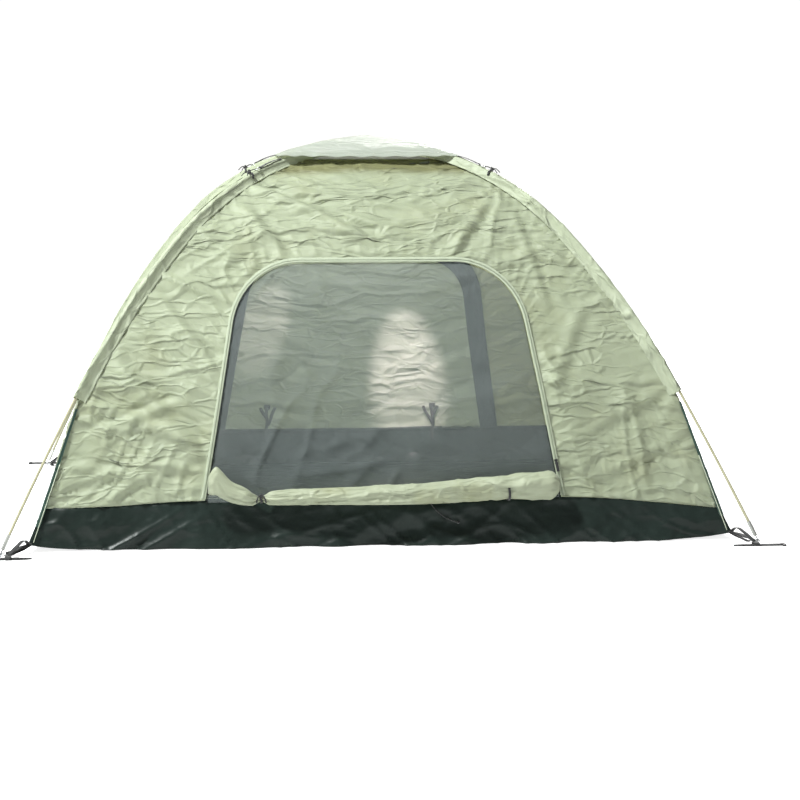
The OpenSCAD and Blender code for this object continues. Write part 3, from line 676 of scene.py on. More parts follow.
# The walls carry a painted olive shade just under the rain cap's edge
sage_cloth = cloth_finish("sage_polyester", (0.46, 0.51, 0.36), (0.56, 0.61, 0.46), 0.42,
                          stain=(0.47, 0.50, 0.34), painted_cap_shade_to=0.362)
for side in ("front", "rear"):
    sewn(door_wall(side, sage_cloth), "tent", "sage_fabric", flat=(1.97, 1.23), area=1.12,
         stands_for=[f"{side}_wall"])
for side in ("left", "right"):
    sewn(plain_wall(side, sage_cloth), "tent", "sage_fabric", flat=(1.47, 1.23), area=1.30,
         stands_for=[f"{side}_wall"])

# ------------------------------------------------------------------ groundsheet
# One piece of glossy coated polyethylene, turned up all round into a shallow tub. It is
# creased from packing, and its corners are drawn up a little where the straps pull on them.
FLOOR_RINGS = np.r_[1 - np.linspace(0.0, 0.30, 12)[1:], np.linspace(0.66, 0.0, 16)]


def tub_material():
    """Dark green coated polyethylene: glossy, in facets with sharp creases between them."""
    mat, shader, add, join = new_material("tub_coating")
    where = add("ShaderNodeTexCoord").outputs["Object"]
    tone = two_tones(add, where, (0.006, 0.010, 0.008), (0.020, 0.032, 0.028), 5.0, 8.0)
    join(tone, shader.inputs["Base Color"])
    lumps = add("ShaderNodeTexNoise", {"Vector": where}, Scale=9.0, Detail=4.0, Distortion=0.4)
    facets = add("ShaderNodeTexVoronoi", {"Vector": add("ShaderNodeMapping", {"Vector": where},
                 Rotation=(0.4, 0.5, 0.6), Scale=(0.6, 1.0, 0.5)).outputs[0]}, Scale=9.0,
                 feature="DISTANCE_TO_EDGE")
    edges = add("ShaderNodeMapRange", {"Value": facets.outputs["Distance"]}, From_Max=0.2,
                interpolation_type="SMOOTHSTEP")
    soft = add("ShaderNodeBump", {"Height": lumps.outputs["Fac"]}, Strength=0.45, Distance=0.010)
    join(add("ShaderNodeBump", {"Height": edges.outputs[0], "Normal": soft.outputs[0]},
             Strength=0.6, Distance=0.004).outputs[0], shader.inputs["Normal"])
    join(add("ShaderNodeMapRange", {"Value": lumps.outputs["Fac"]}, To_Min=0.28,
             To_Max=0.48).outputs[0], shader.inputs["Roughness"])
    shader.inputs["Specular IOR Level"].default_value = 0.24
    return mat


def tub_points():
    """The sheet as rings round the floor, from the seam down the sides and in to the middle."""
    w, d = floor_w, floor_d
    per_side = {"front": 230, "right": 170, "rear": 230, "left": 170}
    rise = np.r_[TUB_H + 0.007, np.linspace(TUB_H, 0.012, 26), 0.007, 0.004, 0.0022]
    rings, uvs, run0 = [], [], 0.0
    for side in ("front", "right", "rear", "left"):
        t = np.linspace(-1, 1, per_side[side] + 1)[:-1]
        wide = (w if side in ("front", "rear") else d) / 2
        deep = (d if side in ("front", "rear") else w) / 2
        x = t * wide
        turn = UP_WALL[side]
        corner = np.minimum(np.abs(1 - t), np.abs(1 + t)) * wide
        column = []
        for z0 in rise:
            low = max(0.0, 1 - z0 / TUB_H)
            z = z0 + seam_drop(side, x) * (1 - low)
            r = half_diag - (half_diag - ridge_r[ridge_z >= SLEEVE_Z - 0.001][-1]) * z / SLEEVE_Z
            share = deep / half_diag
            out, over = share * r, t * wide / half_diag * r
            sway = 3 * low * noise(x * 2.2, x * 0, 71 + turn)
            billow = low ** 0.7 * (0.009 * noise(x * 4 + sway, low * 0.8 + x * 0, 60 + turn)
                                   + 0.014 * creases(x * 7 + 1.4 * low, low * 0.9 + x * 0,
                                                     61 + turn, 3)
                                   + 0.010 * creases(x * 16 - 2.2 * low, low * 1.5 + x * 0,
                                                     62 + turn)
                                   - 0.010)
            billow += 0.0030 * creases(x * 30 + 2 * low, low * 4 + x * 0, 63 + turn, 3) * low ** 0.3
            billow += 0.0010 * creases(x * 60 - 3 * low, low * 7 + x * 0, 65 + turn, 3) * low ** 0.3
            billow += gathers(x, low * TUB_H + 0 * x, 0.03, 0.0025, 0.038, 64 + turn)
            tucked = 0.0022 if z0 < TUB_H - 0.008 else 0.0055
            out = out - tucked + billow * np.clip(corner / 0.05, 0.1, 1)
            column.append((over, out, z + 0 * x))
        lifted = 0.022 * np.exp(-corner / 0.09)
        for share in FLOOR_RINGS:
            over, out = x * share, deep * share + 0 * x
            edge = np.exp(-(1 - share) * deep / 0.10)
            rumple = 0.0016 + 0.0016 * noise(over * 9, out * 9 + 0 * x, 66 + turn)
            z = 0.0012 + rumple * (1 - 0.5 * edge)
            column.append((over, out, np.maximum(z, 0.0008)))
        arrays = []
        for over, out, z in column:
            near = np.exp(-np.maximum(deep - out, 0) / 0.09)
            z = z + lifted * near * np.clip(1 - z / TUB_H, 0, 1)
            turned = {"front": (over, -out), "right": (out, over), "rear": (-over, out),
                      "left": (-out, -over)}
            arrays.append(np.stack(turned[side] + (z,), -1))
        rings.append(np.stack(arrays, 1))
        uvs.append(np.stack(np.broadcast_arrays((run0 + x)[:, None],
                                                np.arange(len(column)) * 0.02), -1))
        run0 += 2 * wide
    return np.concatenate(rings, 0), np.concatenate(uvs, 0)


tub_grid, tub_uv = tub_points()
tub = finish_mesh("groundsheet_cloth", *grid_parts(
    tub_grid[:, ::-1], tub_uv[:, ::-1], around=True), tub_material())
shell = bmesh.new()
shell.from_mesh(tub.data)
bmesh.ops.remove_doubles(shell, verts=shell.verts, dist=0.0001)
shell.to_mesh(tub.data)
shell.free()
thicken(tub, 0.0008)
sewn(tub, "tent", "groundsheet", flat=(floor_w + 2 * TUB_H, floor_d + 2 * TUB_H), held="laid",
     stands_for=["groundsheet_floor", "tub_front", "tub_rear", "tub_left", "tub_right"])

# ------------------------------------------------------------------ pole sleeves
# Tunnels of the wall's own cloth sewn along the ridges, from near the crown down to where
# the rods come out and run free to the ground. The cloth gathers a little along each rod.
SLEEVE_START, SLEEVE_R = 0.048, 0.0078
CORNERS = {"front_left": (-1, -1, -1), "rear_right": (1, 1, -1),
           "front_right": (1, -1, 1), "rear_left": (-1, 1, 1)}      # x sign, y sign, rod


def by_rod(corner, s, off=0.0, aside=0.0):
    """Points near a rod: s from the crown, off outwards from the tent, aside square to both."""
    sx, sy, side = CORNERS[corner]
    line_s, reach, z, slope = rod_line(side)
    a = np.interp(s, line_s, slope)
    r = np.interp(s, line_s, reach) + off * np.sin(a)
    up = np.interp(s, line_s, z) + off * np.cos(a)
    dx, dy = sx * across_share, sy * out_share
    return np.stack(np.broadcast_arrays(dx * r - dy * aside, dy * r + dx * aside, up), -1)


def wall_drops(corner):
    """The steepness of the walls on either side of a ridge, as (hand, fall for each step)."""
    sx, sy, _ = CORNERS[corner]
    right, left = (0.75, 1.333) if sx * sy < 0 else (1.333, 0.75)
    return (1, right), (-1, left)


def sleeve_tunnel(corner, material):
    """A strip of cloth over the rod, whose two feet are sewn down on the walls."""
    s = np.linspace(SLEEVE_START, sleeve_end, 330)[:, None]
    slope = np.sin(np.interp(s, rod_s, rod_slope))
    seed = 80 + list(CORNERS).index(corner)
    arc = np.radians(np.linspace(-14, 194, 15))
    feet = []
    for hand, steep in wall_drops(corner):
        ways = []
        for wide, high in ((0.0150, 0.0022), (0.0125, 0.0026), (0.0100, 0.0050)):
            ways.append((hand * wide + 0 * s, -RIDGE_IN - steep * wide * slope + high))
        feet.append(ways)
    swell = 1 + 0.10 * noise(s * 30, 0 * s, seed) + 0.08 * noise(s * 90, 0 * s, seed + 3)
    over = [(SLEEVE_R * swell * math.cos(a), SLEEVE_R * swell * math.sin(a)) for a in arc]
    row = feet[0] + over + feet[1][::-1]
    aside = np.concatenate([p[0] + 0 * s for p in row], 1)
    off = np.concatenate([p[1] + 0 * s for p in row], 1)
    off = off + 0.0009 * noise(s * 55, aside * 120, seed + 5)
    at_end = np.clip((s - sleeve_end + 0.02) / 0.02, 0, 1)
    s = s + 0.005 * at_end * noise(aside * 200, aside * 0, seed)
    points = by_rod(corner, s, off=off, aside=aside)
    width = np.cumsum(np.hypot(np.diff(aside, axis=1, prepend=aside[:, :1]),
                               np.diff(off, axis=1, prepend=off[:, :1])), 1)
    uv = np.stack([s + 0 * width, width], -1)
    piece = finish_mesh(f"sleeve_{corner}_cloth", *grid_parts(points, uv), material)
    thicken(piece, 0.0007)
    return piece


sleeve_cloth = cloth_finish("sleeve_polyester", (0.48, 0.53, 0.38), (0.56, 0.61, 0.46), 0.3)
for corner in CORNERS:
    sewn(sleeve_tunnel(corner, sleeve_cloth), "tent", "sage_fabric",
         flat=(round(sleeve_end - SLEEVE_START, 3), 0.068), stands_for=[f"sleeve_{corner}"])

# ------------------------------------------------------------------ roof mesh
# A square of fine netting let into the crown under the rain cap, so that damp air gets out.


def net_finish(name, dark, light, solid):
    """Fine netting: mostly holes, so it is seen through, with a thread pattern in its bump."""
    mat, shader, add, join = new_material(name)
    where = add("ShaderNodeTexCoord")
    join(two_tones(add, where.outputs["Object"], dark, light, 2.5), shader.inputs["Base Color"])
    threads = [add("ShaderNodeTexWave", {"Vector": where.outputs["UV"]}, bands_direction=way,
                   Scale=150.0) for way in "XY"]
    grid = add("ShaderNodeMath", {0: threads[0].outputs["Fac"], 1: threads[1].outputs["Fac"]},
               operation="MAXIMUM")
    join(add("ShaderNodeBump", {"Height": grid.outputs[0]}, Strength=0.3,
             Distance=0.0006).outputs[0], shader.inputs["Normal"])
    shader.inputs["Roughness"].default_value = 0.8
    shader.inputs["Sheen Weight"].default_value = 0.4
    holes = add("ShaderNodeBsdfTransparent")
    both = add("ShaderNodeMixShader", {1: holes.outputs[0], 2: shader.outputs[0]})
    both.inputs[0].default_value = solid
    join(both.outputs[0], mat.node_tree.nodes["Material Output"].inputs["Surface"])
    return mat


def crown_height(x, y):
    """Height of the cloth over a point near the crown."""
    r = np.maximum(np.abs(x) / across_share, np.abs(y) / out_share)
    return np.interp(r, ridge_r, ridge_z)


t = np.linspace(-1, 1, 61)
x, y = np.meshgrid(t * (VENT_REACH * across_share + 0.004), t * (VENT_REACH * out_share + 0.004),
                   indexing="ij")
vent_points = np.stack([x, y, crown_height(x, y) - 0.0026 + 0.0012 * noise(x * 12, y * 12, 90)],
                       -1)
vent = finish_mesh("roof_vent_net", *grid_parts(vent_points, np.stack([x, y], -1)),
                   net_finish("roof_net", (0.20, 0.22, 0.19), (0.27, 0.30, 0.26), 0.55))
thicken(vent, 0.0005)
sewn(vent, "tent", "mesh", flat=(0.50, 0.38), stands_for=["roof_vent"])

# ------------------------------------------------------------------ doors
# The front door is a D of dark netting that is seen through; the rear one is a D of the
# wall's cloth. Both hang from a seam at the sill, and both zips were closed before packing.
DOOR_GAP, DOOR_SILL = 0.002, 0.128


def door_panel(side, name, material, wrinkle, lift0=0.0):
    """A door's sheet, as rows from the sill to the top, inside the doorway's outline."""
    z = np.r_[np.linspace(DOOR_SILL, DOOR_TOP - DOOR_GAP - 0.04, 84),
              DOOR_TOP - DOOR_GAP - 0.04 * np.linspace(1, 0, 16)[1:] ** 2]
    outline, _ = doorway(-DOOR_GAP, DOOR_SILL, 800)
    left = outline[:400]
    edge_z = np.interp(left[:, 1], ridge_s, ridge_z)
    half = np.interp(z, edge_z, -left[:, 0])[None, :]
    t = np.linspace(-1, 1, 140)[:, None]
    x, z = t * half, np.broadcast_to(z[None, :], (140, len(z)))
    s = down_at(z)
    inset = np.minimum((1 - np.abs(t)) * half, DOOR_TOP - z)
    lift = lift0 + wrinkle * crumple(x, s, 100 + 7 * UP_WALL[side]) * np.clip(inset / 0.04, 0.1, 1)
    lift += gathers(x + s, inset, 0.03, 0.0012, 0.045, 101)
    sag = np.clip(inset / 0.25, 0, 1)
    lift -= 0.004 * sag * sag * (3 - 2 * sag)
    points = on_wall(side, x, s, lift)
    piece = finish_mesh(name, *grid_parts(points, np.stack([x, s], -1)), material)
    thicken(piece, 0.0006)
    return piece


door_net = net_finish("door_net", (0.12, 0.145, 0.145), (0.18, 0.205, 0.20), 0.38)
rear_cloth = cloth_finish("rear_door_polyester", (0.48, 0.55, 0.46), (0.56, 0.63, 0.55), 0.5)
door_area = 0.63
sewn(door_panel("front", "front_mesh_door_net", door_net, 0.7, -0.0008), "mesh_door", "mesh",
     flat=(1.01, 0.72), area=door_area, stands_for=["front_mesh_door"])
sewn(door_panel("rear", "rear_door_cloth", rear_cloth, 0.9, -0.001), "rear_door", "sage_fabric",
     flat=(1.01, 0.72), area=door_area, stands_for=["rear_door"])

# ------------------------------------------------------------------ rows of stitches and teeth
# Every seam is lock-stitched in thread, and each zip is a row of moulded teeth on a tape.
# One tree sets small beads along a line; each bead points the way its line's points say.


def bead_tree():
    """Sets a small stretched bead every so often along an edge path."""
    tree = bpy.data.node_groups.new("beads_along_a_seam", "GeometryNodeTree")
    face = tree.interface
    face.new_socket(name="Geometry", in_out="INPUT", socket_type="NodeSocketGeometry")
    for label, value in (("Spacing", 0.004), ("Bead length", 0.003), ("Bead width", 0.0006)):
        face.new_socket(name=label, in_out="INPUT",
                        socket_type="NodeSocketFloat").default_value = value
    face.new_socket(name="Thread", in_out="INPUT", socket_type="NodeSocketMaterial")
    face.new_socket(name="Geometry", in_out="OUTPUT", socket_type="NodeSocketGeometry")
    node, join = tree.nodes.new, tree.links.new
    given, result = node("NodeGroupInput"), node("NodeGroupOutput")
    line, even = node("GeometryNodeMeshToCurve"), node("GeometryNodeResampleCurve")
    even.mode = "LENGTH"
    aim, turn = node("GeometryNodeInputNamedAttribute"), node("FunctionNodeAlignRotationToVector")
    aim.data_type = "FLOAT_VECTOR"
    aim.inputs["Name"].default_value = "aim"
    turn.axis = "Z"
    bead, place = node("GeometryNodeMeshIcoSphere"), node("GeometryNodeInstanceOnPoints")
    bead.inputs["Radius"].default_value = 0.5
    bead.inputs["Subdivisions"].default_value = 1
    size, real, paint = (node("ShaderNodeCombineXYZ"), node("GeometryNodeRealizeInstances"),
                         node("GeometryNodeSetMaterial"))
    for source, target in (
            (given.outputs["Geometry"], line.inputs["Mesh"]),
            (line.outputs["Curve"], even.inputs["Curve"]),
            (given.outputs["Spacing"], even.inputs["Length"]),
            (even.outputs["Curve"], place.inputs["Points"]),
            (bead.outputs["Mesh"], place.inputs["Instance"]),
            (aim.outputs["Attribute"], turn.inputs["Vector"]),
            (turn.outputs["Rotation"], place.inputs["Rotation"]),
            (given.outputs["Bead width"], size.inputs["X"]),
            (given.outputs["Bead width"], size.inputs["Y"]),
            (given.outputs["Bead length"], size.inputs["Z"]),
            (size.outputs["Vector"], place.inputs["Scale"]),
            (place.outputs["Instances"], real.inputs["Geometry"]),
            (real.outputs["Geometry"], paint.inputs["Geometry"]),
            (given.outputs["Thread"], paint.inputs["Material"]),
            (paint.outputs["Geometry"], result.inputs["Geometry"])):
        join(source, target)
    return tree


beads = bead_tree()


def bead_rows(name, lines, material, spacing, length, width, aims=None):
    """A piece of beads along each line; they lie along it unless aims says which way."""
    points, edges, aim = [], [], []
    for k, line in enumerate(lines):
        line = np.asarray(line, dtype=float)
        start = len(points)
        points += [tuple(p) for p in line]
        edges += [(start + i, start + i + 1) for i in range(len(line) - 1)]
        aim.append(np.gradient(line, axis=0) if aims is None else aims[k])
    mesh = bpy.data.meshes.new(name)
    mesh.from_pydata(points, edges, [])
    mesh.attributes.new("aim", "FLOAT_VECTOR", "POINT").data.foreach_set(
        "vector", np.concatenate(aim).astype(float).ravel())
    source = bpy.data.objects.new(name + "_line", mesh)
    scene.collection.objects.link(source)
    modifier = source.modifiers.new("beads", "NODES")
    modifier.node_group = beads
    given = {item.name: item.identifier for item in beads.interface.items_tree
             if item.in_out == "INPUT"}
    for label, value in (("Spacing", spacing), ("Bead length", length), ("Bead width", width),
                         ("Thread", material)):
        modifier[given[label]] = value
    made = source.evaluated_get(bpy.context.evaluated_depsgraph_get())
    result = bpy.data.meshes.new_from_object(made)
    bpy.data.objects.remove(source)
    result.name = name
    result.polygons.foreach_set("use_smooth", [True] * len(result.polygons))
    piece = bpy.data.objects.new(name, result)
    scene.collection.objects.link(piece)
    return piece


# ------------------------------------------------------------------ zips
# Each doorway has a zip: a woven tape sewn round the wall's edge, with a row of moulded
# teeth. The front tape is olive like the cloth, and the rear one is black.
TAPE_IN, TAPE_OUT, TAPE_T = -0.001, 0.012, 0.0009


def tape_finish(name, dark, light, weave=700.0, rough=0.8):
    """Woven tape or webbing: ribs across it and a soft nap."""
    mat, shader, add, join = new_material(name)
    where = add("ShaderNodeTexCoord")
    join(two_tones(add, where.outputs["Object"], dark, light, 50.0), shader.inputs["Base Color"])
    ribs = [add("ShaderNodeTexWave", {"Vector": where.outputs["UV"]}, bands_direction=way,
                Scale=weave / 6 / share) for way, share in (("X", 1), ("Y", 2))]
    weave_height = add("ShaderNodeMath", {0: ribs[0].outputs["Fac"], 1: ribs[1].outputs["Fac"]},
                       operation="ADD")
    join(add("ShaderNodeBump", {"Height": weave_height.outputs[0]}, Strength=0.5,
             Distance=0.0006).outputs[0], shader.inputs["Normal"])
    nap = add("ShaderNodeTexNoise", {"Vector": where.outputs["Object"]}, Scale=300.0)
    join(add("ShaderNodeMapRange", {"Value": nap.outputs["Fac"]}, To_Min=rough - 0.1,
             To_Max=rough + 0.1).outputs[0], shader.inputs["Roughness"])
    shader.inputs["Sheen Weight"].default_value = 0.35
    return mat


def zip_tape(side, name, material, lift=0.0042):
    """The tape round a doorway, rippling with the wall's edge under it."""
    count = 420
    edges = [doorway(o, TUB_H + 0.001, count) for o in (TAPE_IN, TAPE_OUT)]
    t = np.linspace(0, 1, 7)[None, :, None]
    grid = edges[0][0][:, None] * (1 - t) + edges[1][0][:, None] * t
    run = np.broadcast_to(edges[0][1][:, None], grid.shape[:2])
    seed = 20 + 10 * UP_WALL[side]
    rise = lift + gathers(run, 0.01 + 0 * run, 0.055, 0.0012, 0.041, seed)
    rise += 0.0004 * noise(run * 60, grid[..., 0] * 0, seed)
    points = on_wall(side, grid[..., 0], follow_seam(side, grid[..., 0], grid[..., 1]), rise)
    uv = np.stack([run, np.broadcast_to(t[..., 0] * (TAPE_OUT - TAPE_IN), run.shape)], -1)
    piece = finish_mesh(name, *grid_parts(points, uv), material)
    thicken(piece, TAPE_T)
    return piece, points


olive_tape = tape_finish("olive_zip_tape", (0.40, 0.45, 0.33), (0.48, 0.53, 0.40))
black_tape = tape_finish("black_zip_tape", (0.015, 0.016, 0.017), (0.035, 0.036, 0.038))
olive_teeth = moulded("olive_zip_teeth", (0.26, 0.30, 0.21), (0.36, 0.40, 0.30), 0.35)
black_teeth = moulded("black_zip_teeth", (0.012, 0.012, 0.013), (0.03, 0.03, 0.032), 0.35)
thread_sage = tape_finish("sage_thread", (0.42, 0.46, 0.34), (0.52, 0.56, 0.43), 3000.0)
thread_black = tape_finish("black_thread", (0.010, 0.011, 0.010), (0.03, 0.03, 0.03), 3000.0)
for side, tape_look, teeth_look in (("front", olive_tape, olive_teeth),
                                    ("rear", black_tape, black_teeth)):
    tape, tape_points = zip_tape(side, f"{side}_zip_tape_woven", tape_look)
    sewn(tape, "tent", "zip_tape", flat=(2.15, 0.013), held="stretched",
         stands_for=[f"{side}_zip_tape"])
    middle = tape_points[:, 3]
    outward = np.cross(np.gradient(middle, axis=0), tape_points[:, 4] - tape_points[:, 2])
    outward /= np.linalg.norm(outward, axis=1)[:, None]
    teeth = bead_rows(f"{side}_zip_teeth", [middle + 0.0009 * outward], teeth_look, 0.0022,
                      0.0052, 0.0018, [tape_points[:, 5] - tape_points[:, 1]])
    thread = bead_rows(f"{side}_zip_stitches",
                       [tape_points[:, k] + 0.0006 * outward for k in (1, 5)],
                       thread_sage if side == "front" else thread_black, 0.0045, 0.0034, 0.0007)
    for piece in (teeth, thread):
        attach(piece, "tent")
dress(metal("black_zip_metal", (0.02, 0.02, 0.021), (0.06, 0.06, 0.062), 0.35),
      "front_zip_slider", "rear_zip_slider")
dress(moulded("zip_pull_rubber", (0.015, 0.015, 0.016), (0.04, 0.04, 0.042), 0.5),
      "front_zip_pull", "rear_zip_pull")

# ------------------------------------------------------------------ rear storm flap and ties
# Behind the rear zip a strip of dark cloth keeps rain out. Two narrow ties hang by it inside,
# ready to hold the rear door when it is rolled.
FLAP_HALF = 0.031
dark_cloth = cloth_finish("storm_flap_polyester", (0.045, 0.060, 0.065), (0.08, 0.10, 0.105), 0.12)
flap_edges = [doorway(o, TUB_H + 0.004, 420) for o in (-FLAP_HALF - 0.010, FLAP_HALF - 0.010)]
for line, _ in flap_edges:
    line[:, 0] -= 0.026 * np.clip(0.5 + line[:, 0] / 0.5, 0, 1)   # it hangs in on one side
t = np.linspace(0, 1, 13)[None, :, None]
flap_grid = flap_edges[0][0][:, None] * (1 - t) + flap_edges[1][0][:, None] * t
flap_run = np.broadcast_to(flap_edges[0][1][:, None], flap_grid.shape[:2])
flap_lift = -0.0105 + 0.0014 * noise(flap_run * 20, flap_grid[..., 0] * 30, 120)
flap_lift += gathers(flap_run, 0.01 + 0 * flap_run, 0.03, 0.0012, 0.06, 121)
flap_points = on_wall("rear", flap_grid[..., 0], flap_grid[..., 1], flap_lift)
flap_uv = np.stack([flap_run, np.broadcast_to(t[..., 0] * 2 * FLAP_HALF, flap_run.shape)], -1)
flap = finish_mesh("rear_zip_flap_cloth", *grid_parts(flap_points, flap_uv), dark_cloth)
thicken(flap, 0.0007)
sewn(flap, "tent", "zip_flap", flat=(2.12, 2 * FLAP_HALF), stands_for=["rear_zip_flap"])


def band_parts(path, across, width, thickness, bow=0.0):
    """Points, faces and UVs of flat webbing along a path; across is its width's direction."""
    path = np.asarray(path, dtype=float)
    across = np.broadcast_to(np.asarray(across, dtype=float), path.shape)
    along = np.gradient(path, axis=0)
    along /= np.linalg.norm(along, axis=1)[:, None]
    across = across - along * (across * along).sum(1)[:, None]
    across = across / np.linalg.norm(across, axis=1)[:, None]
    up = np.cross(along, across)
    w, h = width / 2, thickness / 2
    ring = [(-w, -h * 0.4), (-w * 0.94, -h), (0, -h), (w * 0.94, -h), (w, -h * 0.4), (w, h * 0.4),
            (w * 0.94, h), (0, h), (-w * 0.94, h), (-w, h * 0.4)]
    run = np.r_[0, np.cumsum(np.linalg.norm(np.diff(path, axis=0), axis=1))]
    n = len(ring)
    points = [p + across[i] * a + up[i] * (b + bow * (1 - (a / w) ** 2))
              for i, p in enumerate(path) for a, b in ring]
    uvs = [(run[i], a) for i in range(len(path)) for a, b in ring]
    faces = [(i * n + j, i * n + (j + 1) % n, (i + 1) * n + (j + 1) % n, (i + 1) * n + j)
             for i in range(len(path) - 1) for j in range(n)]
    faces += [tuple(range(n))[::-1], tuple((len(path) - 1) * n + j for j in range(n))]
    return points, faces, uvs


webbing = tape_finish("black_webbing", (0.010, 0.010, 0.011), (0.030, 0.030, 0.032), 420.0)
rear_ties = []
REAR_TIE_X = 0.29
for spread in (1, -1):
    x = spread * REAR_TIE_X
    # One long tape, and two short ends that fork from its top
    for sway, low, top in ((0.006, 0.088, 0.212), (-0.030, 0.150, 0.214), (0.022, 0.172, 0.214)):
        z = np.linspace(top, low, 6)
        part = (top - z) / (top - low)
        forks = 1.0 - part if abs(sway) > 0.01 else part
        line = on_wall("rear", x + spread * sway * forks + 0.003 * np.sin(z * 70),
                       down_at(z), -0.0125 - 0.004 * part)
        rear_ties.append(band_parts(smooth_path(line, 4), (1, 0, 0), 0.0105, 0.0011))
    patch = on_wall("rear", np.array([x, x]), down_at(np.array([0.224, 0.206])), -0.0105)
    rear_ties.append(band_parts(patch, (1, 0, 0), 0.022, 0.0012))
rear_tie_piece = finish_mesh("rear_door_tie_tapes", *joined(rear_ties), webbing)
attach(rear_tie_piece, "tent")
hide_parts("rear_door_ties")

# ------------------------------------------------------------------ rolled front door
# The front's cloth door is unzipped, rolled up lengthways and laid on the sill, where two
# ties pinch it. Its left end stands up out of its tie, and its right end bulges.
ROLL_Y, ROLL_Z, ROLL_R, TIE_X = -0.7403, 0.148, 0.024, 0.35
ROLL_HALF = DOOR_HALF_W - 0.010


def pinch(x):
    """How much a tie squeezes the roll at x, from 0 to 1."""
    return np.clip(0.62 * np.exp(-((x + TIE_X) / 0.020) ** 2)
                   + 0.08 * np.exp(-((x - TIE_X) / 0.016) ** 2), 0, 1)


def rolled_door(material):
    """The roll as one closed skin, whose ends run in as the edges of the wound cloth."""
    x = np.linspace(-ROLL_HALF, ROLL_HALF, 300)
    a = np.linspace(0, 2 * math.pi, 73)[:-1][:, None]
    rise = np.clip((x + TIE_X) / (TIE_X + ROLL_HALF), 0, 1)
    size = ROLL_R * (0.76 + 0.30 * np.clip(rise * 2.4, 0, 1) + 0.42 * rise ** 4
                     + 0.30 * np.clip(-(x + 0.37) / 0.10, 0, 1) + 0.07 * noise(x * 6, x * 0, 130))
    size *= (1 - pinch(x)) * (1 - 0.55 * np.clip((np.abs(x) - ROLL_HALF + 0.030) / 0.030, 0, 1) ** 2)
    wave = 0.12 * noise(x * 7 + 0.0 * a, a * 2.2, 131)
    wave = wave + 0.12 * creases(x * 4 + 0.5 * a, a * 3.2, 132, 4)
    near_tie = np.exp(-(np.abs(np.abs(x) - TIE_X) / 0.05))
    wave = wave + 0.14 * near_tie * np.sin(7 * a + 3 * noise(x * 20, x * 0, 133))
    wave = wave + 0.10 * creases(x * 16 + a, a * 3 - x * 6, 134, 3)
    wave = wave + 0.03 * noise(x * 60 + 0 * a, a * 8, 135)
    past_edge = np.mod(a - 3.9 + 0.8 * noise(x * 3, x * 0, 136), 2 * math.pi)
    lap = 0.14 * np.clip(1 - past_edge / 0.9, 0, 1)
    r = size * (1 + wave + lap)
    stand = np.clip((-x - 0.375) / 0.10, 0, 1)
    middle_z = ROLL_Z - 0.006 + 0.026 * rise ** 2 + 0.028 * stand + 0.004 * noise(x * 4, x * 0, 137)
    y = ROLL_Y - 0.001 + 0.003 * noise(x * 5, x * 0, 138)
    y = y + r * np.cos(a) * (1 - 0.5 * stand)
    z = middle_z + r * np.sin(a) * (1 + 0.55 * stand) + 0.018 * stand * np.clip(np.sin(a), 0, 1)
    z = z + 0.010 * stand * np.sin(a) * np.sin((x + 0.5) * 60)
    z = np.maximum(z, 0.122 + 0.034 * stand ** 2)
    points = np.stack([np.broadcast_to(x, r.shape), y, z], -1)
    uv = np.stack([np.broadcast_to(x, r.shape), np.broadcast_to(a * ROLL_R, r.shape)], -1)
    parts = [grid_parts(points[::-1], uv[::-1], around=True)]
    for end, sign in ((points[:, 0], -1), (points[:, -1], 1)):
        centre = end.mean(0)
        rings = []
        for k, share in enumerate(np.linspace(1, 0.06, 16)):
            turn = 0.004 * math.cos(2 * math.pi * k / 3.0) * (1 - share) ** 0.2
            step = np.array([sign * (turn - 0.004 * (1 - share)), 0, 0])
            rings.append(centre + (end - centre) * share + step)
        grid = np.stack(rings, 1)
        flat = np.stack([grid[..., 1], grid[..., 2]], -1)
        order = slice(None, None, -1) if sign > 0 else slice(None)
        parts.append(grid_parts(grid[:, order], flat[:, order], around=True))
    piece = finish_mesh("front_door_roll_cloth", *joined(parts), material)
    shell = bmesh.new()
    shell.from_mesh(piece.data)
    bmesh.ops.remove_doubles(shell, verts=shell.verts, dist=0.00005)
    bmesh.ops.holes_fill(shell, edges=[e for e in shell.edges if e.is_boundary], sides=0)
    bmesh.ops.recalc_face_normals(shell, faces=shell.faces)
    shell.to_mesh(piece.data)
    shell.free()
    return piece


roll_cloth = cloth_finish("rolled_door_polyester", (0.34, 0.37, 0.25), (0.45, 0.49, 0.36), 0.12,
                          stain=(0.30, 0.31, 0.17))
roll = rolled_door(roll_cloth)
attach(roll, "tent")
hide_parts("front_door_roll")

tie_parts = []
for x in (-TIE_X, TIE_X):
    r = ROLL_R * (1 - float(pinch(np.array(x)))) * (0.92 if x < 0 else 1.26) + 0.0016
    a = np.linspace(0, 2 * math.pi, 41)
    loop = np.stack([x + 0.0015 * np.sin(2 * a), ROLL_Y - 0.002 + r * np.cos(a),
                     ROLL_Z - 0.004 * float(pinch(np.array(x))) + r * np.sin(a)], 1)
    loop = loop + (0, 0, -0.006 if x < 0 else 0.008)
    tie_parts.append(band_parts(loop, (1, 0, 0), 0.007, 0.0012))
    if x < 0:
        knot = knot_path(loop[12] + np.array([0, -0.002, 0.001]), 0.0045, (0, -1, 0.4))
        tie_parts.append(tube_parts(knot, 0.0016, 8))
        for sway in (-0.010, 0.012):
            tail = smooth_path([loop[12], loop[12] + (sway * 0.5, -0.006, 0.002),
                                loop[12] + (sway, -0.009, -0.008),
                                loop[12] + (sway * 1.2, -0.010, -0.018)], 4)
            tie_parts.append(band_parts(tail, (1, 0, 0.2), 0.004, 0.001))
roll_tie_piece = finish_mesh("roll_tie_tapes", *joined(tie_parts), webbing)
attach(roll_tie_piece, "tent")
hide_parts("roll_ties")
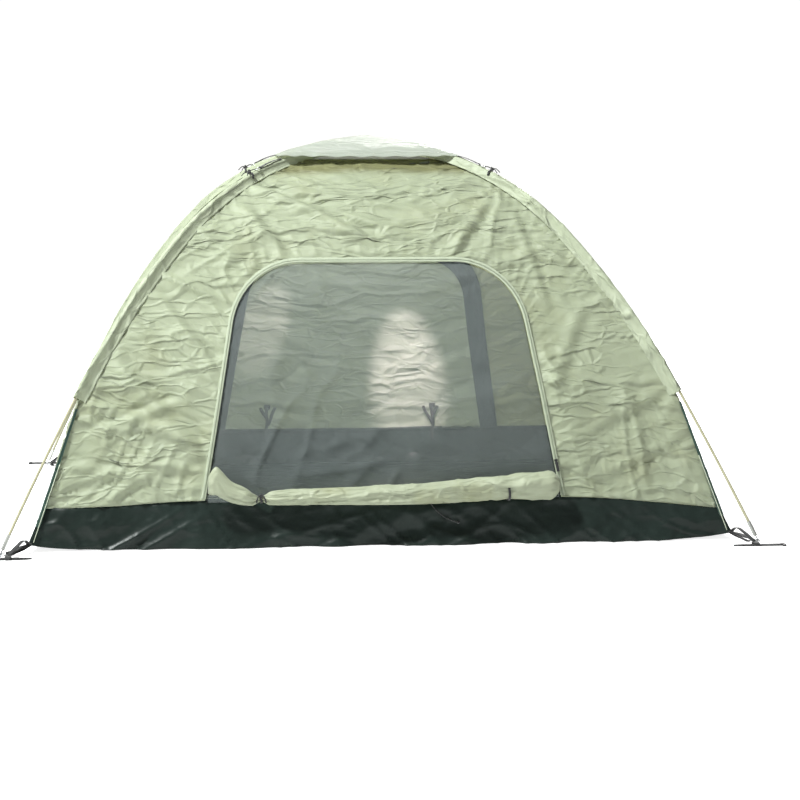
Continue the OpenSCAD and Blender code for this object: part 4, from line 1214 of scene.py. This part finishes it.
dress(moulded("black_toggle", (0.012, 0.012, 0.013), (0.03, 0.03, 0.032), 0.4), "roll_toggle")

# ------------------------------------------------------------------ rain cap
# A square of pale coated cloth over the roof mesh. Black straps at its corners end in small
# steel rings, and cords tie the rings down to the rods; untied, the whole cap lifts off.
CAP_REACH, CAP_PEAK, CAP_OFF = 0.340, 0.016, 0.0158
cap_s = np.linspace(0, CAP_REACH, 60)
cap_slope = np.interp(cap_s, rod_s, rod_slope)
cap_r = np.interp(cap_s, rod_s, rod_reach) + CAP_OFF * np.sin(cap_slope)
cap_z = np.interp(cap_s, rod_s, rod_z) + CAP_OFF * np.cos(cap_slope)
cap_z = cap_z + CAP_PEAK * (1 - cap_s / CAP_REACH)


def cap_points(t, u):
    """Points of the cap for shares t and u of its half width and half depth."""
    reach = cap_r[-1]
    far = np.maximum(np.abs(t), np.abs(u))
    z = np.interp(far * reach, cap_r, cap_z)
    x, y = t * across_share * reach, u * out_share * reach
    inside = 1 - far
    z = z + 0.0022 * noise(x * 9, y * 9, 140) * np.clip(inside * 6, 0, 1)
    z = z + 0.0025 * creases(x * 7 + 2 * y, y * 8, 141) * np.clip(inside * 8, 0, 1)
    z = z + 0.0016 * np.exp(-inside / 0.10) * np.sin(90 * (x + y) + 2 * noise(x * 9, y * 9, 142))
    middle = 1 - np.minimum(np.abs(t), np.abs(u)) ** 2
    pull = 0.006 * np.exp(-inside / 0.15) * middle
    return np.stack([x * (1 - pull * 2), y * (1 - pull * 2), z - 0.5 * pull], -1)


t, u = np.meshgrid(np.linspace(-1, 1, 151), np.linspace(-1, 1, 121), indexing="ij")
cap_cloth = cloth_finish("cap_polyester", (0.54, 0.58, 0.53), (0.62, 0.66, 0.61), 0.5, rough=0.45,
                         crinkle=0.3)
cap = finish_mesh("rain_cap_cloth", *grid_parts(cap_points(t, u), np.stack(
    [t * 0.27, u * 0.205], -1)), cap_cloth)
thicken(cap, 0.0011)
sewn(cap, "rain_cap", "rain_cap", flat=(0.56, 0.43), held="stretched", stands_for=["rain_cap"])
rim = np.linspace(-0.955, 0.955, 120)
cap_lines = []
for inset in (0.975, 0.925):
    e = rim * inset / 0.955
    for a, b in ((e, -inset + 0 * e), (inset + 0 * e, e), (e, inset + 0 * e), (-inset + 0 * e, e)):
        cap_lines.append(cap_points(a, b) + (0, 0, 0.0009))
cap_thread = bead_rows("rain_cap_stitches", cap_lines, thread_sage, 0.0045, 0.0034, 0.0008)
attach(cap_thread, "rain_cap")

CAP_RING_S, CAP_RING_R, CAP_KNOT_S = 0.430, 0.008, 0.460
strap_parts, knot_parts = [], []
for corner, (sx, sy, _) in CORNERS.items():
    across = (-sy * out_share, sx * across_share, 0)
    s = np.linspace(CAP_REACH - 0.004, CAP_RING_S - CAP_RING_R - 0.0005, 22)
    off = 0.0102 + 0.0022 * np.sin((s - s[0]) / (s[-1] - s[0]) * math.pi)
    strap_parts.append(band_parts(by_rod(corner, s, off), across, 0.012, 0.0013))
    fold_s = np.array([CAP_RING_S - 0.020, CAP_RING_S - 0.012, CAP_RING_S - 0.0085])
    strap_parts.append(band_parts(by_rod(corner, fold_s, 0.0118), across, 0.0116, 0.0012))
    turns = np.linspace(0, 4 * math.pi, 60)
    wound = by_rod(corner, CAP_KNOT_S - 0.003 + 0.006 * turns / turns[-1],
                   0.0112 * np.sin(turns), 0.0108 * np.cos(turns))
    knot_parts.append(tube_parts(wound, 0.0016))
    tied = by_rod(corner, CAP_KNOT_S + 0.002, 0.0145)
    for k, size in enumerate((0.0058, 0.0042)):
        knot = knot_path(tied + (0, 0, 0.001 * k), size, (sx, sy, 0.5 + k))
        knot_parts.append(tube_parts(knot, 0.0017))
    link = [by_rod(corner, CAP_RING_S + 0.007, 0.012), by_rod(corner, CAP_RING_S + 0.014, 0.0145),
            by_rod(corner, CAP_RING_S + 0.022, 0.0150), tied]
    knot_parts.append(tube_parts(smooth_path(link, 4), 0.0016))
    for sway, reach in ((0.010, 0.022), (-0.006, 0.026)):
        tail = [tied, by_rod(corner, CAP_KNOT_S + 0.008, 0.0190, sway * 0.5),
                by_rod(corner, CAP_KNOT_S + 0.015, 0.0170, sway),
                by_rod(corner, CAP_KNOT_S + reach, 0.0125, sway * 1.5)]
        knot_parts.append(tube_parts(smooth_path(tail, 4), 0.0014))
cap_strap_piece = finish_mesh("rain_cap_straps", *joined(strap_parts), webbing)
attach(cap_strap_piece, "rain_cap")
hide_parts("cap_straps")
cap_knot_piece = finish_mesh("rain_cap_tie_knots", *joined(knot_parts), black_braid)
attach(cap_knot_piece, "tent")
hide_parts("cap_ties")

# ------------------------------------------------------------------ corner bindings and piping
# Below the sleeves each ridge is an open seam, bound in dark green tape that widens into the
# groundsheet, with a thin pale piping sewn along its front edge.
SEAM_LEAN = (half_diag - float(np.interp(SLEEVE_Z, ridge_z[::-1], ridge_r[::-1]))) / SLEEVE_Z
BINDING_TOP = SLEEVE_Z - 0.010


def by_seam(corner, z, off=0.0, aside=0.0):
    """Points by a corner's open seam: z height, off outwards along the diagonal."""
    sx, sy, _ = CORNERS[corner]
    r = half_diag - SEAM_LEAN * z + off
    dx, dy = sx * across_share, sy * out_share
    return np.stack(np.broadcast_arrays(dx * r - dy * aside, dy * r + dx * aside, z), -1)


binding_look = tape_finish("green_binding", (0.006, 0.040, 0.027), (0.014, 0.070, 0.048),
                           520.0, 0.6)
piping_look = moulded("pale_piping", (0.50, 0.55, 0.42), (0.66, 0.70, 0.56), 0.4)
for index, corner in enumerate(CORNERS):
    sx, sy, _ = CORNERS[corner]
    z = np.linspace(TUB_H - 0.055, BINDING_TOP, 90)
    t = np.linspace(-1, 1, 13)
    zz, tt = np.meshgrid(z, t, indexing="ij")
    half = 0.0075 + 0.006 * np.clip((0.34 - zz) / 0.25, 0, 1)
    aside = tt * half
    off = 0.0030 - 0.651 * np.abs(aside) * np.where(aside * sx * sy > 0, 0.62, 0.98)
    off = off + 0.0008 * noise(zz * 60, tt * 2, 150 + index)
    points = by_seam(corner, zz, off, aside)
    uv = np.stack([zz, aside], -1)
    binding = finish_mesh(f"seam_binding_{corner}", *grid_parts(points, uv), binding_look)
    thicken(binding, 0.0009, 1.0)
    sewn(binding, "tent", "seam_binding", flat=(0.42, 0.024),
         stands_for=["corner_seam_tapes"] if index == 0 else ())
    row = 0.0068 + 0.0055 * np.clip((0.34 - z) / 0.25, 0, 1)
    edges = [by_seam(corner, z, -0.0030, sign * row) + np.array([sx, sy, 0.4]) * 0.0012
             for sign in (-1, 1)]
    thread = bead_rows(f"binding_stitches_{corner}", edges, thread_black, 0.0045, 0.0032, 0.0007)
    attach(thread, "tent")
    pipe = by_seam(corner, np.linspace(0.030, 0.24, 40), 0.0012, sx * sy * 0.013)
    piping = finish_mesh(f"seam_piping_{corner}", *tube_parts(pipe, 0.0011), piping_look)
    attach(piping, "tent")

# ------------------------------------------------------------------ seam stitches
# Twin rows of lock-stitch where the walls meet the groundsheet, round the doorways' hems,
# and along the foot of each sleeve.
seam_lines, hem_lines = [], []
for side in UP_WALL:
    half = (across_share if side in ("front", "rear") else out_share)
    for z in (TUB_H + 0.004, TUB_H + 0.011):
        s = float(down_at(z))
        reach = half * float(np.interp(s, ridge_s, ridge_r)) - 0.015
        x = np.linspace(-reach, reach, 500)
        away = z - TUB_H
        seed = 20 + 10 * UP_WALL[side]
        lift = gathers(x, away + 0 * x, 0.035, 0.0030, 0.038, seed + 7) + 0.0022
        seam_lines.append(on_wall(side, x, follow_seam(side, x, s + 0 * x), lift))
seam_thread = bead_rows("groundsheet_seam_stitches", seam_lines, thread_sage, 0.0048, 0.0036, 0.0008)
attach(seam_thread, "tent")
for side in ("front", "rear"):
    line, run = doorway(0.0165, TUB_H + 0.002, 700)
    seed = 20 + 10 * UP_WALL[side]
    away = 0.0165
    lift = crumple(line[:, 0], line[:, 1], seed) * 0.5 + 0.0018
    lift += gathers(run, away + 0 * run, 0.055, 0.0042, 0.041, seed) + gathers(
        run, away + 0 * run, 0.025, 0.0016, 0.017, seed + 3)
    hem_lines.append(on_wall(side, line[:, 0], follow_seam(side, line[:, 0], line[:, 1]), lift))
hem_thread = bead_rows("doorway_hem_stitches", hem_lines, thread_sage, 0.0048, 0.0036, 0.0008)
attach(hem_thread, "tent")
sleeve_lines = []
for corner in CORNERS:
    s = np.linspace(SLEEVE_START + 0.02, sleeve_end - 0.01, 300)
    slope = np.sin(np.interp(s, rod_s, rod_slope))
    for hand, steep in wall_drops(corner):
        sleeve_lines.append(by_rod(corner, s, -RIDGE_IN - steep * 0.0125 * slope + 0.0034,
                                   hand * 0.0125))
sleeve_thread = bead_rows("sleeve_stitches", sleeve_lines, thread_sage, 0.0048, 0.0036, 0.0008)
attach(sleeve_thread, "tent")

# ------------------------------------------------------------------ corner straps and pegs
# At each corner a short black webbing strap holds a steel ring, which the pin at the rod's end
# drops into, and a second loop of webbing takes a flat moulded peg.
RING_R, EYE_Z, WEB_W = 0.012, 0.0067, 0.018
ring_reach = {-1: 1.3373 - RING_R, 1: 1.3280 - RING_R}
PEG_X, PEG_Y, PEG_W = floor_w / 2 + 0.045, floor_d / 2 + 0.088, 0.016
web_parts = []
for corner, (sx, sy, rod) in CORNERS.items():
    toward = np.array([sx * across_share, sy * out_share, 0])
    across = (-sy * out_share, sx * across_share, 0)
    near = ring_reach[rod] - RING_R
    for lift_in, lift_mid, lift_out in ((0.0260, 0.0170, 0.0112), (0.0222, 0.0105, 0.0028)):
        path = [toward * r + np.array([0, 0, z]) for r, z in
                ((half_diag - SEAM_LEAN * lift_in + 0.001, lift_in),
                 (half_diag + 0.012, lift_mid + 0.003), (half_diag + 0.022, lift_mid),
                 (near - 0.010, lift_out + 0.0006), (near - 0.002, lift_out))]
        web_parts.append(band_parts(smooth_path(path, 5), across, WEB_W, 0.0015))
    wrap = [toward * (near - 0.002 + 0.0045 * math.cos(a))
            + np.array([0, 0, EYE_Z + 0.0042 * math.sin(a)])
            for a in np.linspace(-math.pi / 2, math.pi / 2, 9)]
    web_parts.append(band_parts(np.array(wrap), across, WEB_W, 0.0014))
    start = np.array([sx * (floor_w / 2 - 0.004), sy * (floor_d / 2 - 0.003), 0.0])
    end = np.array([sx * PEG_X, sy * (PEG_Y - PEG_W / 2 - 0.004), 0.0])
    for height, side_step in ((0.040, -0.003), (0.022, 0.006)):
        step = np.array([side_step * sx, 0, 0])
        path = [start + (0, 0, 0.024), start + (end - start) * 0.28 + (0, 0, height) + step,
                start + (end - start) * 0.62 + (0, 0, height * 0.75) + step,
                end + (0, -0.002 * sy, 0.0105)]
        web_parts.append(band_parts(smooth_path(path, 6), (1, 0, 0), 0.011, 0.0014))
    near_side, far_side = PEG_Y - PEG_W / 2, PEG_Y + PEG_W / 2
    over = [(near_side - 0.005, 0.0014), (near_side - 0.0048, 0.006), (near_side - 0.002, 0.0098),
            (PEG_Y, 0.0104), (far_side + 0.002, 0.0094), (far_side + 0.0046, 0.006),
            (far_side + 0.0048, 0.0014)]
    path = [(sx * PEG_X, sy * y, z) for y, z in over]
    web_parts.append(band_parts(smooth_path(path, 4), (1, 0, 0), 0.017, 0.0015))
corner_web = finish_mesh("corner_webbing", *joined(web_parts), webbing)
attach(corner_web, "tent")
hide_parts("corner_straps")
dress(moulded("black_peg_plastic", (0.010, 0.010, 0.011), (0.030, 0.030, 0.032), 0.35),
      *[f"ground_peg_{corner}" for corner in CORNERS])
